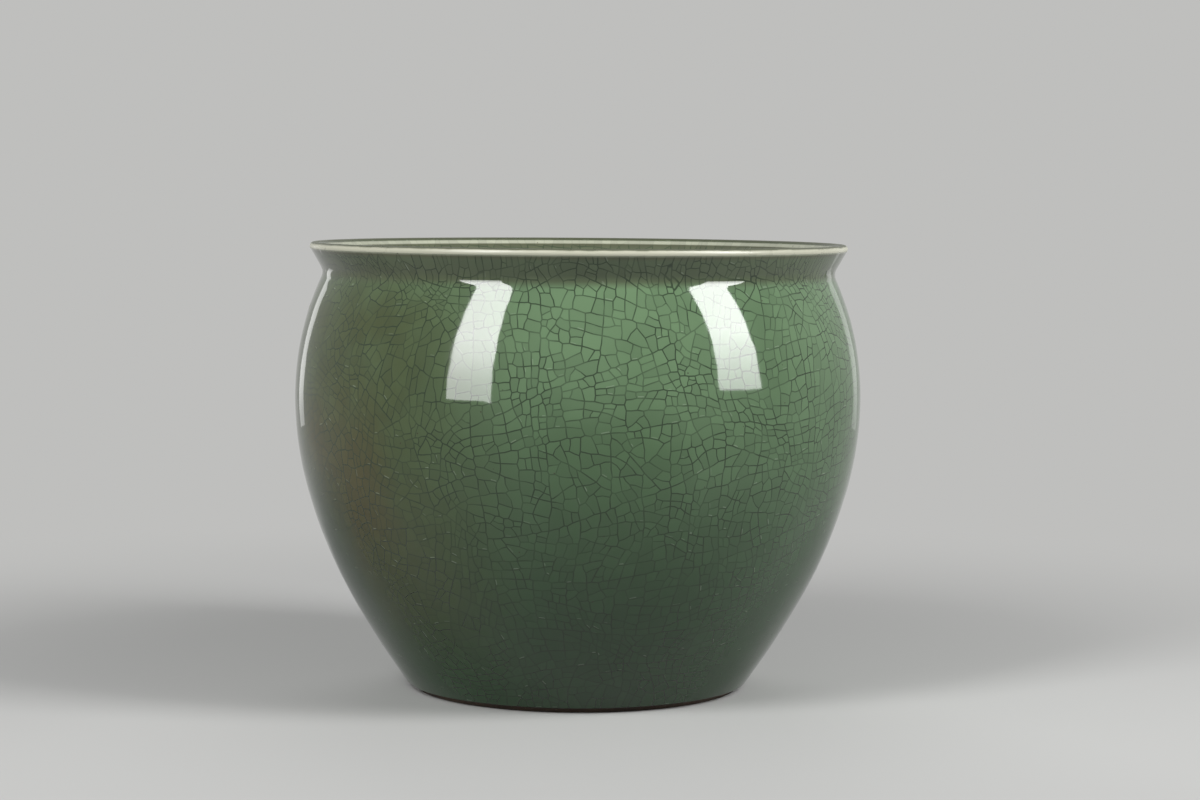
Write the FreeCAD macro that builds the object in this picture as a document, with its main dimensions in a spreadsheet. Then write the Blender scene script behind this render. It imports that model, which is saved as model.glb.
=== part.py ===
import FreeCAD, Part
import os
from math import atan2, cos, hypot, pi, radians, sin
import Sketcher
from FreeCAD import Vector

# A fishbowl jardiniere: one thrown and fired stoneware bowl under three coats of glaze.
# Millimetres. Z is the turning axis and points up, the foot stands on Z = 0, -Y is the front.
# Everything is turned about Z, so each piece is one half section, drawn in the XZ plane
# (sketch X = radius, sketch Y = height) and spun a full turn.

# Driving sizes. "rise" is a height between two stations of the outside wall, and
# "inset" is how far the upper or lower station stands in from its neighbour.
SIZES = {
    # outside wall, from the widest point down to the edge of the glaze above the foot
    "belly_radius": 205.0,
    "flank_inset": 8.9,
    "belly_rise": 66.0,
    "low_flank_inset": 32.3,
    "flank_rise": 79.0,
    "edge_inset": 39.7,
    "low_flank_rise": 62.5,
    # outside wall, from the widest point up to the neck and out to the lip
    "neck_inset": 19.6,
    "shoulder_rise": 89.3,
    "neck_curve": 7.8,
    "lip_overhang": 8.9,
    "lip_rise": 21.7,
    "lip_roll": 3.0,
    # wall
    "clay_wall": 8.0,
    "glaze_coat": 1.0,
    "throat_curve": 14.0,
    "floor_thickness": 14.0,
    "floor_curve": 40.0,
    # foot ring, bare of glaze
    "foot_height": 4.2,
    "foot_bevel": 6.6,
    "foot_width": 15.0,
    "foot_recess": 6.0,
    "foot_round": 1.5,
    "recess_curve": 2.5,
}

# What follows from the sizes. A "radius" and a "level" place a station of the glazed
# outside; a "slope" is the wall's lean there from upright, in degrees. Two arcs that meet
# smoothly turn through twice their chord's lean, which gives every slope in the chain.
OUTLINE = {
    "belly_radius": "sizes.belly_radius",
    "flank_radius": "outline.belly_radius - sizes.flank_inset",
    "low_flank_radius": "outline.flank_radius - sizes.low_flank_inset",
    "edge_radius": "outline.low_flank_radius - sizes.edge_inset",
    "edge_level": "sizes.foot_height",
    "low_flank_level": "outline.edge_level + sizes.low_flank_rise",
    "flank_level": "outline.low_flank_level + sizes.flank_rise",
    "belly_level": "outline.flank_level + sizes.belly_rise",
    "flank_slope": "2 * atan(sizes.flank_inset / sizes.belly_rise)",
    "low_flank_slope": "2 * atan(sizes.low_flank_inset / sizes.flank_rise) - outline.flank_slope",
    "edge_slope": "2 * atan(sizes.edge_inset / sizes.low_flank_rise) - outline.low_flank_slope",
    # neck: the narrowest place, an arc round a centre that lies outside the wall
    "neck_level": "outline.belly_level + sizes.shoulder_rise",
    "neck_centre": "outline.belly_radius - sizes.neck_inset + sizes.neck_curve",
    "shoulder_slope": "2 * atan(sizes.neck_inset / sizes.shoulder_rise)",
    # lip: a round roll, joined to the neck by a straight flare that touches both arcs
    "lip_level": "outline.neck_level + sizes.lip_rise - sizes.lip_roll",
    "lip_centre": "outline.neck_centre - sizes.neck_curve + sizes.lip_overhang - sizes.lip_roll",
    "lip_up": "outline.lip_level - outline.neck_level",
    "lip_out": "outline.lip_centre - outline.neck_centre",
    "flare_turn": "asin((sizes.lip_roll + sizes.neck_curve)"
                  " / sqrt(outline.lip_up ^ 2 + outline.lip_out ^ 2))",
    "flare_slope": "atan(outline.lip_out / outline.lip_up) + outline.flare_turn",
    # inside: the whole wall is the clay and its two coats; the throat is the inside's neck
    "whole_wall": "sizes.clay_wall + 2 * sizes.glaze_coat",
    "throat_centre": "outline.neck_centre - sizes.neck_curve - outline.whole_wall"
                     " + sizes.throat_curve",
    "throat_out": "outline.lip_centre - outline.throat_centre",
    "throat_turn": "asin((sizes.throat_curve - sizes.lip_roll)"
                   " / sqrt(outline.lip_up ^ 2 + outline.throat_out ^ 2))",
    "throat_slope": "atan(outline.throat_out / outline.lip_up) + outline.throat_turn",
    "clay_floor": "sizes.foot_recess + sizes.floor_thickness",
    # foot ring, from its outer bevel in to its bore
    "foot_radius": "outline.edge_radius - sizes.foot_bevel",
    "ring_bore": "outline.foot_radius - sizes.foot_width",
}

doc = FreeCAD.newDocument("jardiniere")


def make_sizes():
    sheet = doc.addObject("Spreadsheet::Sheet", "sizes")
    for row, (name, value) in enumerate(SIZES.items(), start=1):
        sheet.set(f"A{row}", name)
        sheet.set(f"B{row}", str(value))
        sheet.setAlias(f"B{row}", name)
    doc.recompute()


def make_outline():
    outline = doc.addObject("App::VarSet", "outline")
    for name, formula in OUTLINE.items():
        is_angle = name.endswith(("_slope", "_turn"))
        kind = "App::PropertyAngle" if is_angle else "App::PropertyFloat"
        outline.addProperty(kind, name, "outline", formula)
        outline.setExpression(name, formula.replace("outline.", ""))
    doc.recompute()


def value_of(formula):
    result = doc.outline.evalExpression(formula)
    return float(getattr(result, "Value", result))


# A place in the half section is a pair of formulas, (radius, height).

def wall(station, depth):
    """A station of the outside wall, taken a depth into the wall, square to its surface."""
    lean = f"outline.{station}_slope"
    return (f"outline.{station}_radius - ({depth}) * cos({lean})",
            f"outline.{station}_level + ({depth}) * sin({lean})")


def belly(depth):
    return (f"outline.belly_radius - ({depth})", "outline.belly_level")


def neck(depth, lean, side):
    """Where the neck's arc meets the shoulder (side -1) or the flare (side +1)."""
    reach = f"(sizes.neck_curve + {depth})"
    return (f"outline.neck_centre - {reach} * cos(outline.{lean})",
            f"outline.neck_level + {side} * {reach} * sin(outline.{lean})")


def throat(depth, lean, side):
    """The same two places on the inside; the depth counts outwards from the inner glaze."""
    reach = f"(sizes.throat_curve - {depth})"
    return (f"outline.throat_centre - {reach} * cos(outline.{lean})",
            f"outline.neck_level + {side} * {reach} * sin(outline.{lean})")


def lip_outside(depth):
    reach = f"(sizes.lip_roll - {depth})"
    return (f"outline.lip_centre + {reach} * cos(outline.flare_slope)",
            f"outline.lip_level - {reach} * sin(outline.flare_slope)")


def lip_inside(depth):
    reach = f"(sizes.lip_roll - {depth})"
    return (f"outline.lip_centre - {reach} * cos(outline.throat_slope)",
            f"outline.lip_level + {reach} * sin(outline.throat_slope)")


class Section:
    """One closed half section: a chain of lines and arcs drawn through bound places.

    An edge is kept as (its number in the sketch, its first end, its last end).
    """

    def __init__(self, name):
        self.body = doc.addObject("PartDesign::Body", name)
        self.body.Label = name
        planes = {plane.Role: plane for plane in self.body.Origin.OriginFeatures}
        self.sketch = self.body.newObject("Sketcher::SketchObject", name + "_section")
        self.sketch.AttachmentSupport = [(planes["XZ_Plane"], "")]
        self.sketch.MapMode = "FlatFace"

    def bind(self, kind, *where, formula=None):
        """Adds a constraint and, if it has a value, ties that value to its formula."""
        if formula is None:
            self.sketch.addConstraint(Sketcher.Constraint(kind, *where))
            return
        rule = Sketcher.Constraint(kind, *where, value_of(formula))
        index = self.sketch.addConstraint(rule)
        self.sketch.setExpression(f"Constraints[{index}]", formula)

    def hold(self, edge, end, place):
        """Pins an end of an edge to a place."""
        for kind, formula in zip(("DistanceX", "DistanceY"), place):
            self.bind(kind, -1, 1, edge, end, formula=formula)

    def line(self, start, end):
        shape = Part.LineSegment(point(start), point(end))
        return self.sketch.addGeometry(shape), 1, 2

    def arc(self, start, end, centre):
        """The short way round a centre, whichever way that turns."""
        first, last, middle = point(start), point(end), point(centre)
        from_angle = atan2(first.y - middle.y, first.x - middle.x)
        to_angle = atan2(last.y - middle.y, last.x - middle.x)
        turn = (to_angle - from_angle + pi) % (2 * pi) - pi
        ends = (1, 2) if turn > 0 else (2, 1)
        angles = sorted((from_angle, from_angle + turn))
        circle = Part.Circle(middle, Vector(0, 0, 1), middle.distanceToPoint(first))
        index = self.sketch.addGeometry(Part.ArcOfCircle(circle, *angles))
        return index, *ends

    def join(self, before, after, smooth=False):
        kind = "Tangent" if smooth else "Coincident"
        self.bind(kind, before[0], before[2], after[0], after[1])

    def spin(self):
        """Turns the section about the axis into its solid."""
        turned = self.body.newObject("PartDesign::Revolution", self.body.Name + "_turned")
        turned.Profile = self.sketch
        turned.ReferenceAxis = (self.sketch, ["V_Axis"])
        turned.Angle = 360
        self.body.Placement = FreeCAD.Placement()
        return self.body


def point(place):
    """A place as a point of the sketch; a place that is already a point is kept."""
    if isinstance(place, Vector):
        return place
    return Vector(value_of(place[0]), value_of(place[1]), 0)


def centre_of(start, lean, end):
    """The centre of the arc that leaves one point at a lean and ends at another."""
    outward = Vector(cos(radians(lean)), -sin(radians(lean)), 0)
    chord = end - start
    return start + outward * (chord.dot(chord) / (2 * chord.dot(outward)))


def outside_wall(section, depth):
    """The outside wall from the glaze's edge up to the lip, a depth below its surface."""
    edge, low_flank, flank = (wall(name, depth) for name in ("edge", "low_flank", "flank"))
    widest = belly(depth)
    shoulder, flare = neck(depth, "shoulder_slope", -1), neck(depth, "flare_slope", 1)
    foot_arc = section.arc(edge, low_flank, lean_centre(low_flank, "low_flank", edge))
    flank_arc = section.arc(low_flank, flank, lean_centre(flank, "flank", low_flank))
    belly_arc = section.arc(flank, widest, upright_centre(widest, flank))
    shoulder_arc = section.arc(widest, shoulder, upright_centre(widest, shoulder))
    neck_arc = section.arc(shoulder, flare, ("outline.neck_centre", "outline.neck_level"))
    flare_line = section.line(flare, lip_outside(depth))
    arcs = (foot_arc, flank_arc, belly_arc, shoulder_arc, neck_arc)
    pin_wall(section, arcs, (edge, low_flank, flank, widest, shoulder, flare))
    section.join(neck_arc, flare_line)
    section.hold(flare_line[0], flare_line[2], lip_outside(depth))
    return foot_arc, flare_line


def inside_wall(section, depth):
    """The inside wall from the lip down to the axis; depth 0 is the inner glaze's face."""
    below = f"(outline.whole_wall - {depth})"
    flare, shoulder = throat(depth, "throat_slope", 1), throat(depth, "shoulder_slope", -1)
    widest, flank, low_flank = belly(below), wall("flank", below), wall("low_flank", below)
    edge = wall("edge", below)
    floor = f"outline.clay_floor + sizes.glaze_coat - {depth}"
    flare_line = section.line(lip_inside(depth), flare)
    throat_arc = section.arc(flare, shoulder, ("outline.throat_centre", "outline.neck_level"))
    shoulder_arc = section.arc(shoulder, widest, upright_centre(widest, shoulder))
    belly_arc = section.arc(widest, flank, upright_centre(widest, flank))
    flank_arc = section.arc(flank, low_flank, lean_centre(flank, "flank", low_flank))
    foot_centre = lean_centre(low_flank, "low_flank", edge)
    corner_centre, seat = floor_corner(foot_centre, point(edge), floor, depth)
    foot_arc = section.arc(low_flank, seat, foot_centre)
    landing = Vector(corner_centre.x, value_of(floor), 0)
    corner_arc = section.arc(seat, landing, corner_centre)
    floor_line = section.line(landing, Vector(0, value_of(floor), 0))
    section.join(flare_line, throat_arc)
    section.hold(flare_line[0], flare_line[1], lip_inside(depth))
    arcs = (throat_arc, shoulder_arc, belly_arc, flank_arc, foot_arc)
    pin_wall(section, arcs, (flare, shoulder, widest, flank, low_flank))
    # the foot's arc is the one that would run on to the edge of the glaze
    run_on = section.sketch.addGeometry(Part.Point(point(edge)), True)
    section.hold(run_on, 1, edge)
    section.bind("PointOnObject", run_on, 1, foot_arc[0])
    section.join(foot_arc, corner_arc, smooth=True)
    section.join(corner_arc, floor_line, smooth=True)
    section.bind("Radius", corner_arc[0], formula=f"sizes.floor_curve + {depth}")
    section.bind("Horizontal", floor_line[0])
    section.bind("DistanceY", -1, 1, floor_line[0], floor_line[2], formula=floor)
    section.bind("PointOnObject", floor_line[0], floor_line[2], -2)
    return flare_line, floor_line


def lean_centre(start, station, end):
    return centre_of(point(start), value_of(f"outline.{station}_slope"), point(end))


def upright_centre(widest, end):
    """The centre of an arc that is upright at the widest point."""
    return centre_of(point(widest), 0, point(end))


def floor_corner(foot_centre, edge, floor, depth):
    """The centre of the rounded corner of the floor, and where it touches the wall."""
    round_off = value_of(f"sizes.floor_curve + {depth}")
    centre_level = value_of(floor) + round_off
    foot_arc_radius = foot_centre.distanceToPoint(edge)
    curls_in = 1 if foot_centre.x < edge.x else -1
    reach = foot_arc_radius - curls_in * round_off
    drop = centre_level - foot_centre.y
    across = (reach ** 2 - drop ** 2) ** 0.5
    centre = Vector(foot_centre.x + curls_in * across, centre_level, 0)
    away = (centre - foot_centre) * (curls_in / hypot(across, drop))
    return centre, centre + away * round_off


def pin_wall(section, arcs, places):
    """Joins a run of arcs smoothly and pins their ends: each arc starts at its place."""
    for before, after in zip(arcs, arcs[1:]):
        section.join(before, after, smooth=True)
    for arc, place in zip(arcs, places):
        section.hold(arc[0], arc[1], place)
    if len(places) > len(arcs):
        section.hold(arcs[-1][0], arcs[-1][2], places[-1])
    # the two arcs that meet at the widest point have their centres on its level
    widest = next(arc for arc, place in zip(arcs, places) if place[1] == "outline.belly_level")
    section.bind("DistanceY", -1, 1, widest[0], 3, formula="outline.belly_level")


def make_outside_glaze():
    section = Section("outside_glaze")
    foot_arc, flare_line = outside_wall(section, "0")
    cap = section.line(lip_outside("0"), lip_outside("sizes.glaze_coat"))
    under_foot_arc, under_flare_line = outside_wall(section, "sizes.glaze_coat")
    hem = section.line(wall("edge", "sizes.glaze_coat"), wall("edge", "0"))
    section.join(flare_line, cap)
    section.join(cap, reverse(under_flare_line))
    section.join(reverse(under_foot_arc), hem)
    section.join(hem, foot_arc)
    return section.spin()


def make_inside_glaze():
    section = Section("inside_glaze")
    flare_line, floor_line = inside_wall(section, "0")
    middle = section.line(("0", "outline.clay_floor + sizes.glaze_coat"),
                          ("0", "outline.clay_floor"))
    under_flare_line, under_floor_line = inside_wall(section, "sizes.glaze_coat")
    cap = section.line(lip_inside("sizes.glaze_coat"), lip_inside("0"))
    section.join(floor_line, middle)
    section.join(middle, reverse(under_floor_line))
    section.join(reverse(under_flare_line), cap)
    section.join(cap, flare_line)
    return section.spin()


def lip_arc(section, depth):
    """The roll of the lip, over the top from the outside to the inside."""
    centre = ("outline.lip_centre", "outline.lip_level")
    outside, inside = point(lip_outside(depth)), point(lip_inside(depth))
    crest = point(centre) + Vector(0, value_of(f"sizes.lip_roll - {depth}"), 0)
    index = section.sketch.addGeometry(Part.Arc(outside, crest, inside))
    section.bind("DistanceY", -1, 1, index, 3, formula=centre[1])
    return index, 1, 2


def make_rim_glaze():
    section = Section("rim_glaze")
    over = lip_arc(section, "0")
    inner_end = section.line(lip_inside("0"), lip_inside("sizes.glaze_coat"))
    under = lip_arc(section, "sizes.glaze_coat")
    outer_end = section.line(lip_outside("sizes.glaze_coat"), lip_outside("0"))
    section.join(over, inner_end)
    section.join(inner_end, reverse(under))
    section.join(reverse(under), outer_end)
    section.join(outer_end, over)
    section.hold(inner_end[0], 1, lip_inside("0"))
    section.hold(inner_end[0], 2, lip_inside("sizes.glaze_coat"))
    section.hold(outer_end[0], 1, lip_outside("sizes.glaze_coat"))
    section.hold(outer_end[0], 2, lip_outside("0"))
    return section.spin()


def make_stoneware_body():
    section = Section("stoneware_body")
    foot_arc, flare_line = outside_wall(section, "sizes.glaze_coat")
    index, start, end = lip_arc(section, "sizes.glaze_coat")
    inner_flare_line, floor_line = inside_wall(section, "sizes.glaze_coat")
    section.join(flare_line, (index, start, end))
    section.join((index, start, end), inner_flare_line)
    middle = section.line(("0", "outline.clay_floor"), ("0", "sizes.foot_recess"))
    section.join(floor_line, middle)
    foot_start, foot_end = foot_ring(section)
    section.join(middle, foot_start)
    section.join(foot_end, foot_arc)
    return section.spin()


def foot_ring(section):
    """The underside, from the axis out to the edge of the glaze: recess, ring and bevel."""
    bore, recess = value_of("outline.ring_bore"), value_of("sizes.foot_recess")
    toe, corner = value_of("sizes.foot_round"), value_of("sizes.recess_curve")
    wall_line = bore - toe
    ceiling = section.line(Vector(0, recess, 0), Vector(wall_line - corner, recess, 0))
    corner_arc = section.arc(Vector(wall_line - corner, recess, 0),
                             Vector(wall_line, recess - corner, 0),
                             Vector(wall_line - corner, recess - corner, 0))
    bore_line = section.line(Vector(wall_line, recess - corner, 0), Vector(wall_line, toe, 0))
    toe_arc = section.arc(Vector(wall_line, toe, 0), Vector(bore, 0, 0), Vector(bore, toe, 0))
    tread = section.line(("outline.ring_bore", "0"), ("outline.foot_radius", "0"))
    bevel = section.line(("outline.foot_radius", "0"), wall("edge", "sizes.glaze_coat"))
    for before, after in ((ceiling, corner_arc), (corner_arc, bore_line),
                          (bore_line, toe_arc), (toe_arc, tread)):
        section.join(before, after, smooth=True)
    section.join(tread, bevel)
    section.bind("Horizontal", ceiling[0])
    section.bind("Vertical", bore_line[0])
    section.bind("Radius", corner_arc[0], formula="sizes.recess_curve")
    section.bind("Radius", toe_arc[0], formula="sizes.foot_round")
    section.bind("PointOnObject", ceiling[0], 1, -2)
    section.bind("DistanceY", -1, 1, ceiling[0], 1, formula="sizes.foot_recess")
    section.bind("PointOnObject", tread[0], 1, -1)
    section.bind("PointOnObject", tread[0], 2, -1)
    section.bind("DistanceX", -1, 1, tread[0], 1, formula="outline.ring_bore")
    section.bind("DistanceX", -1, 1, tread[0], 2, formula="outline.foot_radius")
    return ceiling, bevel


def reverse(edge):
    index, start, end = edge
    return index, end, start


def check_everything(bodies):
    """Stops on any object that failed to solve or build, before a file is written."""
    for item in doc.Objects:
        faults = [state for state in item.State if state in ("Invalid", "Error")]
        if faults:
            raise RuntimeError(f"{item.Label}: {faults}")
    for body in bodies:
        if body.Shape.isNull() or not body.Shape.isValid():
            raise RuntimeError(f"{body.Label}: no valid solid")


def write_parts(bodies):
    os.makedirs("parts", exist_ok=True)
    for body in bodies:
        body.Shape.exportStep(f"parts/{body.Label}.step")
        print(f"{body.Label}: {body.Shape.Volume / 1000:.1f} cm3, "
              f"{len(body.Shape.Faces)} faces, top {body.Shape.BoundBox.ZMax:.2f}")


make_sizes()
make_outline()
pieces = [make_stoneware_body(), make_outside_glaze(), make_rim_glaze(), make_inside_glaze()]
doc.recompute()
check_everything(pieces)
write_parts(pieces)
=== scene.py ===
# %% [markdown]
# # A round-bellied jardiniere in crackled celadon
#
# The object is one thrown stoneware bowl, wider than it is high, with a narrow neck, a flared and rolled
# lip and a bare foot ring. Its shape is simple, so everything depends on two things: an outline that is
# right to a fraction of a millimetre, and a glaze that looks deep, glossy and finely cracked.
#
# This lesson makes the four things that can be seen: the bare stoneware, the celadon coat outside, the
# celadon coat inside, and the pale edge of the lip. Each is a closed solid of its own, turned about Z.

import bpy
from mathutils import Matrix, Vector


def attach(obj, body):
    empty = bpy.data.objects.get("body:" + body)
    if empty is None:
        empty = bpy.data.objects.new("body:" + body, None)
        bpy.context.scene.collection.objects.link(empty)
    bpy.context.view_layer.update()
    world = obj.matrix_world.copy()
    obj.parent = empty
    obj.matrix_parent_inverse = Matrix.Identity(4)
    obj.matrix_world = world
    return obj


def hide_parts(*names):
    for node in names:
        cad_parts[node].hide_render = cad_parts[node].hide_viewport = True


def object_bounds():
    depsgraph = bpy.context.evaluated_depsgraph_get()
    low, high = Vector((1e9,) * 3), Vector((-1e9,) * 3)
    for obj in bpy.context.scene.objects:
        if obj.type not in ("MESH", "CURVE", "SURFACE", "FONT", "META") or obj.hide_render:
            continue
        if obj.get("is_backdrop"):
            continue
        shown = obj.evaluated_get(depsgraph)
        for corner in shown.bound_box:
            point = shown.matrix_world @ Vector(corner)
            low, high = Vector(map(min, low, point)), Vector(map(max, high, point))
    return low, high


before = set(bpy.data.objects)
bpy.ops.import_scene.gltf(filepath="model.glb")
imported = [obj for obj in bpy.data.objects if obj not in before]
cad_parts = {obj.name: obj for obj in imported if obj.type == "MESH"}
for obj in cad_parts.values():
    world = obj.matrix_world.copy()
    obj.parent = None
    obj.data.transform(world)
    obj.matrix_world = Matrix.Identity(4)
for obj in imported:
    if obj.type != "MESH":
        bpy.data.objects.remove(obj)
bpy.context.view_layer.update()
print("nodes:", sorted(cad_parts))

# %% Modules
from math import asin, atan, atan2, ceil, cos, hypot, pi, radians, sin, sqrt, tan
from random import Random

import bpy
import numpy as np
from mathutils import Matrix, Vector

# %% [markdown]
# ## The camera
#
# The picture was taken with a long lens from about two metres, a little above the lip, so that the mouth
# shows as a thin ellipse. The camera was rolled by less than half a degree. An 85 mm lens on a 36 mm
# sensor gives that field. Building the camera's axes by hand keeps the roll and the aim easy to read: it
# looks along minus Z of its own frame, with Y up.

# %% Camera
CAMERA_PLACE = Vector((0.0, -2.0587, 0.3661))
CAMERA_DOWN = radians(4.3807)
CAMERA_RIGHT = radians(0.446)
CAMERA_ROLL = radians(0.4022)
LENS = 85.0
SENSOR = 36.0


def show(thing):
    """Puts a new object into the scene."""
    bpy.context.scene.collection.objects.link(thing)
    return thing


def make_camera():
    ahead = Vector((sin(CAMERA_RIGHT) * cos(CAMERA_DOWN), cos(CAMERA_RIGHT) * cos(CAMERA_DOWN),
                    -sin(CAMERA_DOWN)))
    level = ahead.cross(Vector((0, 0, 1))).normalized()
    upright = level.cross(ahead)
    side = level * cos(CAMERA_ROLL) + upright * sin(CAMERA_ROLL)
    over = upright * cos(CAMERA_ROLL) - level * sin(CAMERA_ROLL)
    lens = bpy.data.cameras.new("camera")
    lens.lens = LENS
    lens.sensor_width = SENSOR
    camera = show(bpy.data.objects.new("camera", lens))
    turned = Matrix((side, over, -ahead)).transposed().to_4x4()
    camera.matrix_world = Matrix.Translation(CAMERA_PLACE) @ turned
    bpy.context.scene.camera = camera


make_camera()
print("camera looks down by", round(CAMERA_DOWN * 180 / pi, 2), "degrees")

# %% [markdown]
# ## The outline of the pot
#
# A thrown pot is a chain of smooth bends about an upright axis. Each bend here is an arc of a circle, and
# it is written the way a potter would measure it: how far it rises, and how far it draws in over that
# rise. A place on the outline is given by its lean, which is how far the wall tips outwards from upright
# there: positive below the belly, zero at the belly, negative on the shoulder, and minus 90 degrees on
# top of the lip. The inside is the same chain, one wall's thickness in.
#
# These are the sizes that the solid model was made with. The check further down measures how well the
# chain lies on it.

# %% Sizes, in metres
belly_radius = 0.205
flank_inset, belly_rise = 0.0089, 0.066
low_flank_inset, flank_rise = 0.0323, 0.079
edge_inset, low_flank_rise = 0.0397, 0.0625
neck_inset, shoulder_rise, neck_curve = 0.0196, 0.0893, 0.0078
lip_overhang, lip_rise, lip_roll = 0.0089, 0.0217, 0.003
clay_wall, glaze_coat, throat_curve = 0.008, 0.001, 0.014
floor_thickness, floor_curve = 0.014, 0.040
foot_height, foot_bevel, foot_width = 0.0042, 0.0066, 0.015
foot_recess, foot_round, recess_curve = 0.006, 0.0015, 0.0025
whole_wall = clay_wall + 2 * glaze_coat

# %% Places and leans that follow from the sizes
UPRIGHT, UP, DOWN = 0.0, -pi / 2, pi / 2


def facing(lean):
    """Which way the outside faces where the wall has this lean, as (out, up)."""
    return Vector((cos(lean), -sin(lean)))


def lean_after(inset, rise, lean):
    """The lean at the far end of a bend that starts with a lean and draws in over a rise."""
    return 2 * atan(inset / rise) - lean


edge = Vector((belly_radius - flank_inset - low_flank_inset - edge_inset, foot_height))
low_flank = edge + Vector((edge_inset, low_flank_rise))
flank = low_flank + Vector((low_flank_inset, flank_rise))
belly = flank + Vector((flank_inset, belly_rise))
neck_centre = belly + Vector((neck_curve - neck_inset, shoulder_rise))
lip_centre = neck_centre + Vector((lip_overhang - lip_roll - neck_curve, lip_rise - lip_roll))
throat_centre = neck_centre + Vector((throat_curve - neck_curve - whole_wall, 0))

flank_lean = lean_after(flank_inset, belly_rise, UPRIGHT)
low_flank_lean = lean_after(low_flank_inset, flank_rise, flank_lean)
edge_lean = lean_after(edge_inset, low_flank_rise, low_flank_lean)
shoulder_lean = -lean_after(neck_inset, shoulder_rise, UPRIGHT)


def tangent_lean(start, radii):
    """The lean of the straight wall that runs from the bend at start to the roll of the lip."""
    way = lip_centre - start
    return atan2(way.x, way.y) + asin(radii / way.length)


flare_lean = tangent_lean(neck_centre, neck_curve + lip_roll)
throat_lean = tangent_lean(throat_centre, throat_curve - lip_roll)
print("leans in degrees:", [round(x * 180 / pi, 2) for x in
                            (edge_lean, low_flank_lean, flank_lean, shoulder_lean, flare_lean, throat_lean)])

# %% Bends: (centre, radius, lean at one end, lean at the other)
# A positive radius bulges outwards and a negative one is hollow.


def bend(start, start_lean, end, end_lean):
    """The arc that leaves one place with its lean and ends at another."""
    chord = end - start
    radius = -chord.length_squared / (2 * chord.dot(facing(start_lean)))
    return start - facing(start_lean) * radius, radius, start_lean, end_lean


shoulder_top = neck_centre - facing(shoulder_lean) * neck_curve
foot_bend = bend(low_flank, low_flank_lean, edge, edge_lean)
flank_bend = bend(flank, flank_lean, low_flank, low_flank_lean)
belly_bend = bend(belly, UPRIGHT, flank, flank_lean)
shoulder_bend = bend(belly, UPRIGHT, shoulder_top, shoulder_lean)
neck_bend = (neck_centre, -neck_curve, shoulder_lean, flare_lean)
lip_bend = (lip_centre, lip_roll, flare_lean, throat_lean - pi)
throat_bend = (throat_centre, throat_curve, throat_lean - pi, -shoulder_lean - pi)


FEWEST_STEPS = 3
SAME_PLACE = 1e-6


def along(piece, step, depth=0.0, back=False):
    """Points along a bend, a depth below its surface and about a step apart."""
    centre, radius, lean_from, lean_to = piece
    reach = radius - depth
    count = max(FEWEST_STEPS, ceil(abs(reach * (lean_to - lean_from)) / step))
    points = [centre + facing(lean) * reach for lean in np.linspace(lean_from, lean_to, count + 1)]
    return points[::-1] if back else points


def straight(start, end, step):
    """Points along a straight wall, about a step apart."""
    count = max(1, ceil((end - start).length / step))
    return [start.lerp(end, i / count) for i in range(count + 1)]


def chain(*runs):
    """Joins runs of points, leaving out a point that repeats the one before it."""
    points = []
    for run in runs:
        for p in run:
            if not points or (p - points[-1]).length > SAME_PLACE:
                points.append(p)
    return points


print("radii of the bends in mm:", [round(radius * 1000, 1) for _, radius, _, _ in
                                    (foot_bend, flank_bend, belly_bend, shoulder_bend)])

# %% Outline of the outside and of the inside
# steps between points on the long bends, the neck and throat, and the roll of the lip; HIDDEN ones are for
# the faces where two layers meet, which nobody sees
FINE, HIDDEN = 0.0024, 0.016
TIGHT, HIDDEN_TIGHT = 0.0009, 0.0036
ROLL_STEP, HIDDEN_ROLL = 0.0003, 0.0009
FLARE_STEP = lip_rise / 8


def outside_wall(step, tight, depth=0.0):
    """From the edge of the glaze above the foot up to the lip."""
    neck = along(neck_bend, tight, depth)
    lip_start = lip_centre + facing(flare_lean) * (lip_roll - depth)
    return chain(along(foot_bend, step, depth, back=True), along(flank_bend, step, depth, back=True),
                 along(belly_bend, step, depth, back=True), along(shoulder_bend, step, depth),
                 neck, straight(neck[-1], lip_start, min(step, FLARE_STEP)))


def floor_corner(depth):
    """The hollow bend between the inside wall and the floor, and the level of the floor."""
    level = foot_recess + floor_thickness + glaze_coat - depth
    radius = floor_curve + depth
    wall_centre, wall_radius = foot_bend[0], foot_bend[1] - whole_wall + depth
    drop = level + radius - wall_centre.y
    across = sqrt((wall_radius - radius) ** 2 - drop ** 2)
    centre = Vector((wall_centre.x + across, level + radius))
    return (centre, radius, atan2(-drop, across), DOWN), level


def inside_wall(step, tight, depth=0.0):
    """From the lip down to the middle of the floor; depth counts outwards into the clay."""
    below = whole_wall - depth
    corner, level = floor_corner(depth)
    lip_end = lip_centre + facing(lip_bend[3]) * (lip_roll - depth)
    throat = along((throat_centre, throat_curve - depth, throat_bend[2], throat_bend[3]), tight)
    low_wall = (foot_bend[0], foot_bend[1], low_flank_lean, corner[2])
    seat = along(corner, tight)
    return chain(straight(lip_end, throat[0], min(step, FLARE_STEP)), throat,
                 along(shoulder_bend, step, below, back=True), along(belly_bend, step, below),
                 along(flank_bend, step, below), along(low_wall, step, below),
                 seat, straight(seat[-1], Vector((0, level)), step))


print("points up the outside:", len(outside_wall(FINE, TIGHT)))
print("points down the inside:", len(inside_wall(FINE, TIGHT)))

# %% How far the chain lies from the solid model
TINY = 1e-12


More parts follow.
